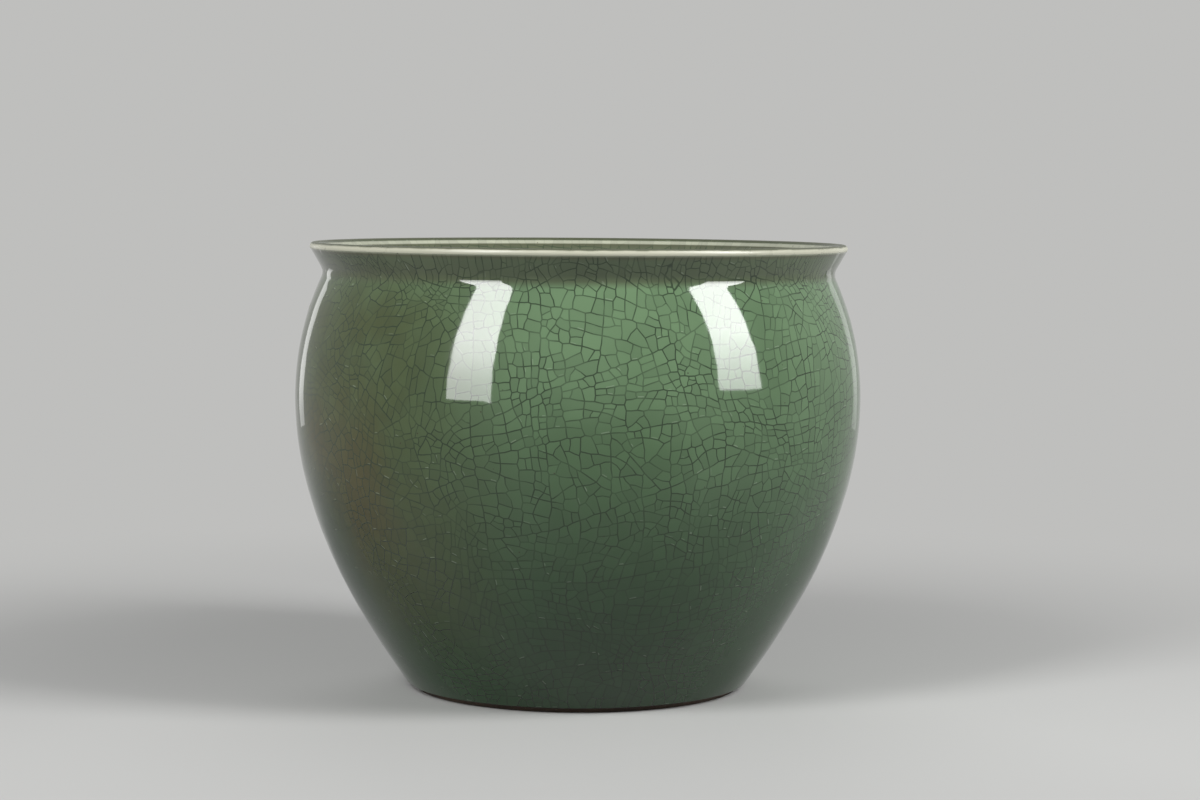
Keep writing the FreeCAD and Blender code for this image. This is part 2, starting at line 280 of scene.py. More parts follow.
def distance_to_chain(points, node):
    """The largest distance, in metres, from the solid model's vertices to a run of points."""
    corners = np.array([(hypot(v.co.x, v.co.y), v.co.z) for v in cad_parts[node].data.vertices])
    run = np.array([tuple(p) for p in points])
    starts, steps = run[:-1], np.diff(run, axis=0)
    squares = np.maximum((steps ** 2).sum(1), TINY ** 2)
    worst = 0.0
    for corner in np.unique(corners.round(5), axis=0):
        share = np.clip(((corner - starts) * steps).sum(1) / squares, 0, 1)
        gap = corner - starts - steps * share[:, None]
        worst = max(worst, float(np.sqrt((gap ** 2).sum(1).min())))
    return worst


both_faces = outside_wall(FINE, TIGHT) + outside_wall(FINE, TIGHT, glaze_coat)[::-1]
print("outside glaze, worst distance in mm:", round(distance_to_chain(both_faces, "outside_glaze") * 1000, 3))

# %% [markdown]
# ## Small helpers for node trees
#
# Both the turned shapes and the glazes are node trees. A few short helpers keep their making readable:
# each adds a node, fills its inputs, either with a value or with a link, and gives back what comes out.

# %% Node helpers


def put(tree, socket, value):
    """Links a socket to an output, or writes a plain value into it."""
    if isinstance(value, bpy.types.NodeSocket):
        tree.links.new(value, socket)
    elif value is not None:
        socket.default_value = value


def add(tree, kind, inputs=(), **settings):
    """A new node. inputs maps a socket's name or number to a value or to an output."""
    made = tree.nodes.new(kind)
    for name, value in settings.items():
        setattr(made, name, value)
    for name, value in dict(inputs).items():
        put(tree, made.inputs[name], value)
    return made


def calc(tree, operation, *values, clamp=False):
    """A sum of numbers; returns its output."""
    made = add(tree, "ShaderNodeMath", enumerate(values), operation=operation, use_clamp=clamp)
    return made.outputs[0]


def vector_calc(tree, operation, *values):
    """A sum of vectors; returns its output."""
    made = add(tree, "ShaderNodeVectorMath", enumerate(values), operation=operation)
    return made.outputs["Value" if operation in ("LENGTH", "DOT_PRODUCT") else "Vector"]


def scaled(tree, vector, factor):
    """A vector times a number; returns its output."""
    return add(tree, "ShaderNodeVectorMath", {0: vector, "Scale": factor}, operation="SCALE").outputs[0]


def new_group(name, kind, inputs, outputs):
    """An empty node group with named sockets; returns it with its input node and output node."""
    group = bpy.data.node_groups.new(name, kind)
    for label, socket_kind, value in inputs:
        socket = group.interface.new_socket(label, in_out="INPUT", socket_type=socket_kind)
        if value is not None:
            socket.default_value = value
    for label, socket_kind in outputs:
        group.interface.new_socket(label, in_out="OUTPUT", socket_type=socket_kind)
    return group, group.nodes.new("NodeGroupInput"), group.nodes.new("NodeGroupOutput")


print("helpers ready")

# %% [markdown]
# ## The wheel: a Geometry Nodes tree that turns an outline
#
# Every piece of this pot is its outline carried once round the axis, so one tree makes all four. What it
# turns is a flat net of faces, laid out like a map: across it runs the angle round the pot, and up it the
# length along the outline. The tree looks up where the outline is at that length and swings that place
# round by that angle. A plain net gives a plain turned piece. A net cut into cells gives the crackle.
#
# No pot is turned as true as a lathe would do it. The tree also lifts the surface by about a tenth of a
# millimetre in slow waves, as fingers and ribs leave them. That is far too little to see in the outline,
# but it is what makes the edges of a reflection waver. The tree works out which way the waved surface
# faces, too, so that a net with uneven cells still shines as smoothly as glaze.

# %% The wheel
WAVY, FACING = "wavy", "facing"
SLOPE_STEP = 0.001
WAVE_STRETCH = (1.0, 1.0, 1.9)


def wave_height(tree, place, given):
    """How far the waves lift the surface at a place."""
    flat = vector_calc(tree, "MULTIPLY", place, WAVE_STRETCH)
    spread = calc(tree, "DIVIDE", 1.0, given.outputs["Wave Size"])
    waves = add(tree, "ShaderNodeTexNoise", {"Vector": flat, "W": given.outputs["Seed"], "Scale": spread,
                                             "Detail": 1.0}, noise_dimensions="4D")
    double = calc(tree, "MULTIPLY", given.outputs["Wave Height"], 2.0)
    return calc(tree, "MULTIPLY", calc(tree, "SUBTRACT", waves.outputs[0], 0.5), double)


def make_wheel():
    """The tree that turns a net round an outline, as described above."""
    tree, given, result = new_group("wheel", "GeometryNodeTree", [
        ("Net", "NodeSocketGeometry", None),
        ("Outline", "NodeSocketObject", None),
        ("Wave Height", "NodeSocketFloat", 0.0),
        ("Wave Size", "NodeSocketFloat", 0.05),
        ("Seed", "NodeSocketFloat", 0.0),
        ("Finish", "NodeSocketMaterial", None),
    ], [("Turned", "NodeSocketGeometry")])
    on_map = add(tree, "ShaderNodeSeparateXYZ", {0: add(tree, "GeometryNodeInputPosition").outputs[0]})
    outline = add(tree, "GeometryNodeObjectInfo", {"Object": given.outputs["Outline"]})
    found = add(tree, "GeometryNodeSampleCurve", {
        "Curves": outline.outputs["Geometry"], "Length": on_map.outputs["Y"],
    }, mode="LENGTH", use_all_curves=True)
    place = add(tree, "ShaderNodeSeparateXYZ", {0: found.outputs["Position"]})
    way = add(tree, "ShaderNodeSeparateXYZ", {0: found.outputs["Tangent"]})
    sine = calc(tree, "SINE", on_map.outputs["X"])
    cosine = calc(tree, "MULTIPLY", calc(tree, "COSINE", on_map.outputs["X"]), -1.0)

    def swung(out, up):
        """A place or a direction of the outline, swung round the axis."""
        across, away = calc(tree, "MULTIPLY", out, sine), calc(tree, "MULTIPLY", out, cosine)
        return add(tree, "ShaderNodeCombineXYZ", {"X": across, "Y": away, "Z": up}).outputs[0]

    spot = swung(place.outputs["X"], place.outputs["Z"])
    forward = swung(way.outputs["X"], way.outputs["Z"])
    outward = swung(way.outputs["Z"], calc(tree, "MULTIPLY", way.outputs["X"], -1.0))
    across = calc(tree, "MULTIPLY", cosine, -1.0)
    around = add(tree, "ShaderNodeCombineXYZ", {"X": across, "Y": sine}).outputs[0]

    flag = add(tree, "GeometryNodeInputNamedAttribute", {"Name": WAVY}, data_type="FLOAT").outputs[0]
    here = wave_height(tree, spot, given)
    faced = outward
    for direction in (around, forward):
        beside = vector_calc(tree, "ADD", spot, scaled(tree, direction, SLOPE_STEP))
        rise = calc(tree, "SUBTRACT", wave_height(tree, beside, given), here)
        slope = calc(tree, "MULTIPLY", calc(tree, "DIVIDE", rise, SLOPE_STEP), flag)
        faced = vector_calc(tree, "SUBTRACT", faced, scaled(tree, direction, slope))
    lifted = vector_calc(tree, "ADD", spot, scaled(tree, outward, calc(tree, "MULTIPLY", here, flag)))

    # the directions are stored before the points move, because both are read from the flat map
    stored = add(tree, "GeometryNodeStoreNamedAttribute", {
        "Geometry": given.outputs["Net"], "Name": FACING, "Value": vector_calc(tree, "NORMALIZE", faced),
    }, data_type="FLOAT_VECTOR", domain="POINT")
    turned = add(tree, "GeometryNodeSetPosition", {"Geometry": stored.outputs[0], "Position": lifted})
    smooth = add(tree, "GeometryNodeSetShadeSmooth", {"Geometry": turned.outputs[0]})
    real = add(tree, "GeometryNodeRealizeInstances", {"Geometry": smooth.outputs[0]})
    dressed = add(tree, "GeometryNodeSetMaterial",
                  {"Geometry": real.outputs[0], "Material": given.outputs["Finish"]})
    put(tree, result.inputs["Turned"], dressed.outputs[0])
    return tree


wheel = make_wheel()
print("the wheel has", len(wheel.nodes), "nodes")

# %% [markdown]
# ## Nets
#
# A net is a list of points on the map and a list of faces. Rings of points at one length become circles
# on the pot, and a ring is stitched to the next with triangles even where the two have different points,
# which is how a crackled side is closed with a plain back. A pole is a single point on the axis.

# %% Net
FULL_TURN = 2 * pi
CRACK, TONE, GLINT = "crack", "tone", "glint"


class Net:
    """Points on the map, each with how dark a crack is there, and faces, each with its tone and glint."""

    def __init__(self):
        self.places, self.cracked, self.faces, self.tones, self.glints = [], [], [], [], []

    def point(self, angle, length, crack=0.0):
        self.places.append((angle, length))
        self.cracked.append(crack)
        return len(self.places) - 1

    def face(self, points, tone=0.5, glint=0.0):
        self.faces.append(points)
        self.tones.append(tone)
        self.glints.append(glint)

    def ring(self, length, columns):
        """Evenly spaced points at one length, from the seam behind the pot and right round."""
        return [self.point(FULL_TURN * (i / columns - 0.5), length) for i in range(columns)]

    def stitch(self, low, high):
        """Joins two rings, or a ring and a pole. The faces look to the right of the outline's way."""
        if isinstance(low, int) or isinstance(high, int):
            ring, pole = (high, low) if isinstance(low, int) else (low, high)
            for a, b in zip(ring, ring[1:] + ring[:1]):
                self.face((b, a, pole) if isinstance(low, int) else (a, b, pole))
            return

        def angle(ring, i):
            turns, at = divmod(i, len(ring))
            return self.places[ring[at]][0] + turns * FULL_TURN

        i = j = 0
        while i < len(low) or j < len(high):
            a, b = low[i % len(low)], high[j % len(high)]
            if j == len(high) or (i < len(low) and angle(low, i + 1) <= angle(high, j + 1)):
                self.face((a, low[(i + 1) % len(low)], b))
                i += 1
            else:
                self.face((a, high[(j + 1) % len(high)], b))
                j += 1

    def mesh(self, name, wavy):
        """The flat map as a mesh. wavy holds the points that the waves may lift."""
        mesh = bpy.data.meshes.new(name)
        mesh.from_pydata([(x, y, 0) for x, y in self.places], [], self.faces)
        for label, domain, values in ((CRACK, "POINT", self.cracked), (TONE, "FACE", self.tones),
                                      (GLINT, "FACE", self.glints),
                                      (WAVY, "POINT", [float(i in wavy) for i in range(len(self.places))])):
            mesh.attributes.new(label, "FLOAT", domain).data.foreach_set("value", values)
        return mesh


def lengths_of(points):
    """How far along an outline each of its points is."""
    steps = [(b - a).length for a, b in zip(points, points[1:])]
    return [0.0] + list(np.cumsum(steps))


print("nets ready")

# %% Turning a net
SHARP_CORNER = radians(40)


def outline_object(name, points):
    """An outline as a curve object, which the wheel can read."""
    curve = bpy.data.curves.new(name, "CURVE")
    curve.dimensions = "3D"
    spline = curve.splines.new("POLY")
    spline.points.add(len(points) - 1)
    spline.points.foreach_set("co", [x for p in points for x in (p.x, 0.0, p.y, 1.0)])
    return show(bpy.data.objects.new(name, curve))


def turn(name, net, points, material, wavy=(), height=0.0, size=0.05, seed=0.0):
    """Turns a net round its outline and returns a plain mesh object."""
    drawn = outline_object(name + "_outline", points)
    blank = show(bpy.data.objects.new(name + "_net", net.mesh(name + "_net", set(wavy))))
    modifier = blank.modifiers.new("wheel", "NODES")
    modifier.node_group = wheel
    sockets = {item.name: item.identifier for item in wheel.interface.items_tree if item.in_out == "INPUT"}
    for label, value in (("Outline", drawn), ("Wave Height", height), ("Wave Size", size), ("Seed", seed),
                         ("Finish", material)):
        modifier[sockets[label]] = value
    mesh = bpy.data.meshes.new_from_object(blank.evaluated_get(bpy.context.evaluated_depsgraph_get()))
    for used in (blank, drawn):
        bpy.data.objects.remove(used)
    if wavy:
        faced = np.zeros(len(mesh.vertices) * 3)
        mesh.attributes[FACING].data.foreach_get("vector", faced)
        mesh.normals_split_custom_set_from_vertices(faced.reshape(-1, 3))
    else:
        mesh.set_sharp_from_angle(angle=SHARP_CORNER)
    for label in (FACING, WAVY):
        mesh.attributes.remove(mesh.attributes[label])
    mesh.name = name
    return show(bpy.data.objects.new(name, mesh))


def tell(piece):
    """Prints the size of a closed mesh. Its volume would be negative if its faces pointed inwards."""
    mesh = piece.data
    mesh.calc_loop_triangles()
    corners, faces = np.zeros(len(mesh.vertices) * 3), np.zeros(len(mesh.loop_triangles) * 3, int)
    mesh.vertices.foreach_get("co", corners)
    mesh.loop_triangles.foreach_get("vertices", faces)
    a, b, c = (corners.reshape(-1, 3)[faces.reshape(-1, 3)[:, i]] for i in range(3))
    litres = float((a * np.cross(b, c)).sum() / 6 * 1000)
    sides = np.zeros(len(mesh.loops), int)
    mesh.loops.foreach_get("edge_index", sides)
    closed = bool((np.bincount(sides, minlength=len(mesh.edges)) == 2).all())
    print(piece.name, "-", len(faces) // 3, "triangles,", round(litres, 4), "litres, closed:", closed)


print("ready to turn")

# %% [markdown]
# ## Crackle
#
# The glaze shrinks more than the clay as it cools, so it cracks. The first cracks run long, mostly up and
# down the wall. Each later one starts square to an older crack and stops at the next, so the net is made
# of T-shaped meetings and of four- to six-sided cells about 7 mm across. A Voronoi texture is the quick
# way to draw a net like this, but all its lines meet in threes and are the same age, and it looks like foam.
#
# So the cracks are made the way they happen. A sheet of glaze as large as the side of the pot is split in
# two, each part is split again across its longer way, and so on until the parts are as small as cells.
# Of a few ways to split a part, the one that leaves the roundest halves is taken. Each crack is then
# curved so that it meets the older cracks at its ends squarely, and all of them wander a little. The sheet
# is the flat map that the wheel turns, and each crack is a seam between faces, with its darkness kept in a
# named attribute. Where the wall bends tightly, at the neck and the throat, cells get more points.

# %% Sheet of glaze
SNAP = 0.0012  # no crack ends closer than this to another
LOW_EDGE, HIGH_EDGE, SEAM = 0, 1, 2


class Sheet:
    """A sheet of glaze on the map. A cell is a list of sides: (crack, from, to, turn to add).

    A crack is (start, end, strength). Its marks are the (share, point) pairs where other cracks meet it.
    """

    def __init__(self, radius_at, low, high, seed):
        self.radius_at, self.low, self.high = radius_at, low, high
        self.random, self.levels = Random(seed), ()
        self.points, self.cracks, self.marks, self.hosts = [], [], [], []
        left, top = self.point((-pi, low)), self.point((-pi, high))
        self.crack((-pi, low), (pi, low), 0.0, left, left)
        self.crack((-pi, high), (pi, high), 0.0, top, top)
        self.crack((-pi, low), (-pi, high), 1.0, left, top)
        self.cells = [[(LOW_EDGE, 0.0, 1.0, 0.0), (SEAM, 0.0, 1.0, FULL_TURN),
                       (HIGH_EDGE, 1.0, 0.0, 0.0), (SEAM, 1.0, 0.0, 0.0)]]

    def point(self, place):
        """A new point; returns its number."""
        self.points.append(place)
        return len(self.points) - 1

    def crack(self, start, end, strength, first, last, hosts=(None, None)):
        """A new crack. hosts are the older cracks that it starts and ends on, with the share of each."""
        self.hosts.append(hosts)
        self.cracks.append((start, end, strength))
        self.marks.append([(0.0, first), (1.0, last)])
        return len(self.cracks) - 1

    def place(self, crack, share, turned=0.0):
        """The place on the map at a share of a crack."""
        (x0, y0), (x1, y1), _ = self.cracks[crack]
        return x0 + (x1 - x0) * share + turned, y0 + (y1 - y0) * share

    def corners(self, cell):
        """A cell's corners in metres, as complex numbers, and the radius that the angles were taken at."""
        corners = [self.place(crack, start, turned) for crack, start, _, turned in cell]
        radius = self.radius_at(sum(y for _, y in corners) / len(corners))
        return np.array([complex(x * radius, y) for x, y in corners]), radius


def moments(corners):
    """Area, middle, and the direction and reach of the longer way of a flat shape."""
    after = np.roll(corners, -1)
    cross = (corners.conj() * after).imag
    area = cross.sum() / 2
    middle = ((corners + after) * cross).sum() / (6 * area)
    p, q = corners - middle, after - middle
    cross = (p.conj() * q).imag
    spin = (cross * (p * p + p * q + q * q)).sum() / 12
    size = (cross * (abs(p) ** 2 + (p * q.conj()).real + abs(q) ** 2)).sum() / 12
    return area, middle, np.angle(spin) / 2, sqrt((size + abs(spin)) / 2 / area)


print("sheet ready")

# %% Splitting a cell
LEAST_SQUARE = 0.60  # the sine of the sharpest angle between a new crack and an old one
LEAST_SIDE = 2.2  # times SNAP: a shorter side of a cell takes no crack
OFF_MIDDLE = 0.25  # how far off the middle a long crack may run, as a share of the part's reach
WIDEST = 1.15, 2.0  # a part wider than asked for by a factor in this range is split


def split(sheet, cell, strength, tilt, offset, direction=None):
    """Cracks a cell in two, across its longer way or along a direction.

    It gives the two new cells, or nothing where a side is too short or the crack would run too aslant.
    """
    corners, radius = sheet.corners(cell)
    _, middle, longer, reach = moments(corners)
    if direction is not None:
        longer = direction - pi / 2
    middle += np.exp(1j * longer) * offset * reach
    side = ((corners - middle) * np.exp(-1j * (longer + tilt))).real
    ends = []
    for i, (here, there) in enumerate(zip(side, np.roll(side, -1))):
        if (here < 0) == (there < 0):
            continue
        crack, start, end, turned = cell[i]
        (x0, y0), (x1, y1), _ = sheet.cracks[crack]
        length = hypot((x1 - x0) * radius, y1 - y0)
        least, most = sorted((start, end))
        keep = SNAP / length
        if most - least < LEAST_SIDE * keep:
            return None
        share = min(max(start + (end - start) * here / (here - there), least + keep), most - keep)
        near = min(sheet.marks[crack], key=lambda mark: abs(mark[0] - share))
        if abs(near[0] - share) > keep:
            near = (share, sheet.point(sheet.place(crack, share)))
            sheet.marks[crack].append(near)
        if not least + keep / 2 < near[0] < most - keep / 2:
            return None
        ends.append((i, near[0], near[1], sheet.place(crack, near[0], turned)))
    if len(ends) != 2:
        return None
    (i, share_i, point_i, place_i), (j, share_j, point_j, place_j) = ends
    (crack_i, start_i, end_i, turned_i), (crack_j, start_j, end_j, turned_j) = cell[i], cell[j]
    chord = complex((place_j[0] - place_i[0]) * radius, place_j[1] - place_i[1])
    for k in (i, j):
        side = corners[(k + 1) % len(corners)] - corners[k]
        if direction is None and abs((chord.conjugate() * side).imag) < LEAST_SQUARE * abs(chord) * abs(side):
            return None
    new = sheet.crack(place_i, place_j, strength, point_i, point_j, ((crack_i, share_i), (crack_j, share_j)))
    return ([(crack_i, share_i, end_i, turned_i)] + cell[i + 1:j]
            + [(crack_j, start_j, share_j, turned_j), (new, 1.0, 0.0, 0.0)],
            [(crack_j, share_j, end_j, turned_j)] + cell[j + 1:] + cell[:i]
            + [(crack_i, start_i, share_i, turned_i), (new, 0.0, 1.0, 0.0)])


def split_wide(sheet, cells, direction, width, strength, spread):
    """Cracks cells along a direction until none is much wider than a width."""
    narrow = []
    while cells:
        cell = cells.pop()
        across = (sheet.corners(cell)[0] * np.exp(-1j * (direction - pi / 2))).real
        parts = None
        if np.ptp(across) > width * sheet.random.uniform(*WIDEST):
            parts = split(sheet, cell, strength, sheet.random.gauss(0, spread),
                          sheet.random.uniform(-OFF_MIDDLE, OFF_MIDDLE), direction)
        if parts:
            cells += parts
        else:
            narrow.append(cell)
    return narrow


print("splitting ready")

# %% Cracking a whole sheet
# how far apart the first three ages of cracks are, and how much each crack's direction varies
LONG_CRACKS = ((0.110, 0.12), (0.060, 0.20), (0.034, 0.10))
SLANTS = (0.6, -0.6, 0.9, -0.9, 0.15, -0.2)
THIRD_SPREAD = 0.15
FIRST_STRENGTH, NEXT_STRENGTH = 1.0, 0.95
TRIES, CHANCE = 6, 0.07  # ways tried for each split, and how much luck counts beside roundness
TILT_SPREAD, MOST_OFFSET = 0.30, 0.40
CELL_SIZES = 0.75, 2.2  # a cell larger than the asked area by a factor in this range is split again
OLD_SIZE = 10.0  # a cell this many times the asked area, or more, gets the strongest of the late cracks
LATE_STRENGTH, AGE_STRENGTH, STRENGTH_CHANCE = 0.56, 0.36, (-0.10, 0.12)


def roundness(corners):
    """1 for a circle, 0.79 for a square, 0.6 for a triangle, and near 0 for a splinter."""
    after = np.roll(corners, -1)
    return 2 * pi * (corners.conj() * after).imag.sum() / abs(after - corners).sum() ** 2


def halves(corners, middle, way):
    """The two parts of a cell that a straight cut through a place would leave."""
    side = ((corners - middle) * np.exp(-1j * way)).real
    parts = [], []
    for a, b, here, there in zip(corners, np.roll(corners, -1), side, np.roll(side, -1)):
        parts[int(here >= 0)].append(a)
        if (here < 0) != (there < 0):
            cut = a + (b - a) * here / (here - there)
            parts[0].append(cut)
            parts[1].append(cut)
    return [np.array(part) for part in parts]


def ways_to_split(sheet, cell):
    """A few (tilt, offset) choices for splitting a cell, those that leave the roundest parts first."""
    corners = sheet.corners(cell)[0]
    _, middle, longer, reach = moments(corners)
    choices = []
    for _ in range(TRIES):
        tilt = sheet.random.gauss(0, TILT_SPREAD)
        offset = sheet.random.uniform(-MOST_OFFSET, MOST_OFFSET)
        parts = halves(corners, middle + np.exp(1j * longer) * offset * reach, longer + tilt)
        worst = min(roundness(part) if len(part) > 2 else 0 for part in parts)
        choices.append((worst + sheet.random.uniform(0, CHANCE), tilt, offset))
    return [(tilt, offset) for _, tilt, offset in sorted(choices, reverse=True)]


def crack_sheet(sheet, cell_area):
    """Cracks a sheet: long cracks up the wall, slanting ones, upright ones again, and then cell by cell."""
    random = sheet.random
    (wide, wide_spread), (slanted, slanted_spread), (narrow, narrow_spread) = LONG_CRACKS
    long_parts = []
    for part in split_wide(sheet, sheet.cells, pi / 2, wide, FIRST_STRENGTH, wide_spread):
        slant = random.choice(SLANTS)
        for piece in split_wide(sheet, [part], slant, slanted, NEXT_STRENGTH, slanted_spread):
            way = pi / 2 + random.gauss(0, THIRD_SPREAD)
            long_parts += split_wide(sheet, [piece], way, narrow, NEXT_STRENGTH, narrow_spread)
    sheet.cells = []
    while long_parts:
        cell = long_parts.pop()
        area = moments(sheet.corners(cell)[0])[0]
        parts = None
        if area > cell_area * random.uniform(*CELL_SIZES):
            strength = LATE_STRENGTH + AGE_STRENGTH * min(1.0, area / (cell_area * OLD_SIZE))
            for tilt, offset in ways_to_split(sheet, cell):
                parts = split(sheet, cell, strength + random.uniform(*STRENGTH_CHANCE), tilt, offset)
                if parts:
                    break
        if parts:
            long_parts += parts
        else:
            sheet.cells.append(cell)
    for marks in sheet.marks:
        marks.sort()


print("cracking ready")

# %% Curving each crack
LONG_GAP, LEAST_GAP = 0.0060, 0.0008  # the longest stretch with no point, and the shortest kept
BEND_REACH = 0.010  # how far from its end a crack is curved
MOST_SLOPE = 0.62


def add_bends(sheet):
    """Adds points to the cracks: at each level, and in the middle of each long stretch."""
    for crack in range(len(sheet.cracks)):
        (x0, y0), (x1, y1), _ = sheet.cracks[crack]
        length = hypot((x1 - x0) * sheet.radius_at((y0 + y1) / 2), y1 - y0)
        marks = sheet.marks[crack]
        for level in sheet.levels:
            if min(y0, y1) < level < max(y0, y1):
                share = (level - y0) / (y1 - y0)
                if min(abs(share - mark) for mark, _ in marks) * length > LEAST_GAP:
                    marks.append((share, sheet.point(sheet.place(crack, share))))
        marks.sort()
        for (before, _), (after, _) in zip(marks, marks[1:]):
            count = int((after - before) * length / LONG_GAP)
            for i in range(count):
                share = before + (after - before) * (i + 1) / (count + 1)
                marks = marks + [(share, sheet.point(sheet.place(crack, share)))]
        sheet.marks[crack] = sorted(marks)


class Bow:
    """A crack's line: it leaves its chord so that both its ends have the slopes they need."""

    def __init__(self, start, end):
        self.start, self.chord = start, end - start
        self.length, self.way = abs(end - start), np.angle(end - start)
        self.reach = min(self.length, BEND_REACH)
        self.slopes = 0.0, 0.0

    def swell(self, distance):
        """How far off its chord a line of slope 1 is, this far from its end."""
        return distance * max(0.0, 1 - distance / self.reach) ** 2

    def fall(self, distance):
        """The slope of that line there."""
        share = min(1.0, distance / self.reach)
        return (1 - share) * (1 - 3 * share)

    def place(self, share):
        d = share * self.length
        off = self.slopes[0] * self.swell(d) - self.slopes[1] * self.swell(self.length - d)
        return self.start + self.chord * (share + 1j * off / self.length)

    def way_at(self, share):
        d = share * self.length
        return self.way + atan(self.slopes[0] * self.fall(d) + self.slopes[1] * self.fall(self.length - d))


def bow_cracks(sheet):
    """Curves each crack so that it meets the older crack at either end squarely."""
    bows = []
    for (start, end, _), marks, hosts in zip(sheet.cracks, sheet.marks, sheet.hosts):
        radius = sheet.radius_at((start[1] + end[1]) / 2)
        ends = []
        for (x, y), (_, point) in ((start, marks[0]), (end, marks[-1])):
            now, height = sheet.points[point]
            now += FULL_TURN * round((x - now) / FULL_TURN)
            ends.append(complex(now * radius, height))
        bow = Bow(*ends)
        if None not in hosts:
            off = [(bows[host].way_at(share) - bow.way) % pi - pi / 2 for host, share in hosts]
            bow.slopes = [min(max(tan(x), -MOST_SLOPE), MOST_SLOPE) for x in off]
            for share, point in marks[1:-1]:
                place = bow.place(share)
                sheet.points[point] = (place.real / radius, place.imag)
        bows.append(bow)


print("curving ready")

# %% Letting the cracks wander
WAVES = 14
WAVE_SIZES = 0.7, 1.5
RELAX = 0.28  # how far a meeting moves towards the middle of its neighbours
EDGE_FADE = 0.012
WANDERS = ((0.100, 0.0026), (0.030, 0.0005), (0.013, 0.00018))  # (size of the waves, how far they push)


def wander(seed, size, reach):
    """A smooth wandering of places in space, as (across, along): a sum of waves in random directions."""
    random = np.random.default_rng(seed)
    ways = random.normal(size=(WAVES, 3))
    ways *= (FULL_TURN / size / random.uniform(*WAVE_SIZES, WAVES) / np.linalg.norm(ways, axis=1))[:, None]
    pushes = random.normal(size=(WAVES, 2)) * reach * sqrt(2 / WAVES)
    starts = random.uniform(0, FULL_TURN, WAVES)
    return lambda places: np.sin(places @ ways.T + starts) @ pushes


def bend_cracks(sheet, seed):
    """Draws each meeting of cracks a little towards its neighbours, then lets all of them wander."""
    places = np.array(sheet.points)
    pairs = np.array([(a[1], b[1]) for marks in sheet.marks for a, b in zip(marks, marks[1:])])
    way = places[pairs[:, 1]] - places[pairs[:, 0]]
    way[:, 0] = (way[:, 0] + pi) % FULL_TURN - pi
    pull, count = np.zeros_like(places), np.zeros(len(places))
    for column, sign in ((0, 1), (1, -1)):
        np.add.at(pull, pairs[:, column], sign * way)
        np.add.at(count, pairs[:, column], 1)
    inner = np.ones(len(places))
    inner[[point for edge in (LOW_EDGE, HIGH_EDGE) for _, point in sheet.marks[edge]]] = 0
    places += pull / count[:, None] * RELAX * inner[:, None]

    radius = np.array([sheet.radius_at(y) for y in places[:, 1]])
    in_space = np.stack([radius * np.sin(places[:, 0]), -radius * np.cos(places[:, 0]), places[:, 1]], 1)
    moved = sum(wander(seed + i, size, reach)(in_space) for i, (size, reach) in enumerate(WANDERS))
    fade = np.clip(np.minimum(places[:, 1] - sheet.low, sheet.high - places[:, 1]) / EDGE_FADE, 0, 1)
    places[:, 0] += moved[:, 0] / radius * fade
    places[:, 1] += moved[:, 1] * fade
    sheet.points = [tuple(p) for p in places]


print("wandering ready")

# %% From a cracked sheet to a net
# painted highlight: a share of cells get a pale strip, this wide, along their lowest edge next to the crack
CRACK_REACH, GLINT_REACH = 0.00064, 0.0013  # how far stain, and a lifted edge, reach into a cell
GLINT_CELL_SHARE, GLINT_WAY = 0.11, np.exp(0.5j)  # share of cells with a lifted edge, and how that edge runs
GLINTS = 0.3, 1.0
POLE_NEAR, POLE_FADE = 0.005, 0.015  # cracks fade out between these distances from the axis
SHARPEST, MOST_INWARDS, HALFWAY = 0.3, 0.45, 0.5  # these keep the inner ring of a narrow cell inside it
HAIR = 1e-9  # allows for rounding where shares are compared
CELL_AREA = 0.0000570


def drawn_in(corners, reach):
    """A cell's corners moved inwards until its sides are a reach further in."""
    side = np.roll(corners, -1) - corners
    after = 1j * side / abs(side)
    before = np.roll(after, 1)
    step = reach * (before + after) / np.maximum(1 + (before * after.conj()).real, SHARPEST)
    middle = corners.mean()
    limit = MOST_INWARDS * abs(corners - middle)
    step *= np.minimum(1, limit / np.maximum(abs(step), TINY))
    inner = corners + step
    new_side = np.roll(inner, -1) - inner
    if ((side.conj() * new_side).real <= 0).any():
        nearest = ((middle - corners) * after.conj()).real.min()
        inner = corners + (middle - corners) * min(HALFWAY, reach / max(nearest, reach))
    return inner


def strips(ring, heights):
    """Fills a cell with triangles that lie level, so that it follows a tight bend."""
    lowest = int(np.argmin(heights))
    ring, heights = ring[lowest:] + ring[:lowest], list(heights[lowest:]) + list(heights[:lowest])
    highest = int(np.argmax(heights))
    right, left = list(range(highest + 1)), [0] + list(range(len(ring) - 1, highest - 1, -1))
    i = j = 0
    while i < len(right) - 1 or j < len(left) - 1:
        if j == len(left) - 1 or (i < len(right) - 1 and heights[right[i + 1]] <= heights[left[j + 1]]):
            corners, i = (right[i], right[i + 1], left[j]), i + 1
        else:
            corners, j = (left[j], right[i], left[j + 1]), j + 1
        if len(set(corners)) == 3:
            yield tuple(ring[k] for k in corners)


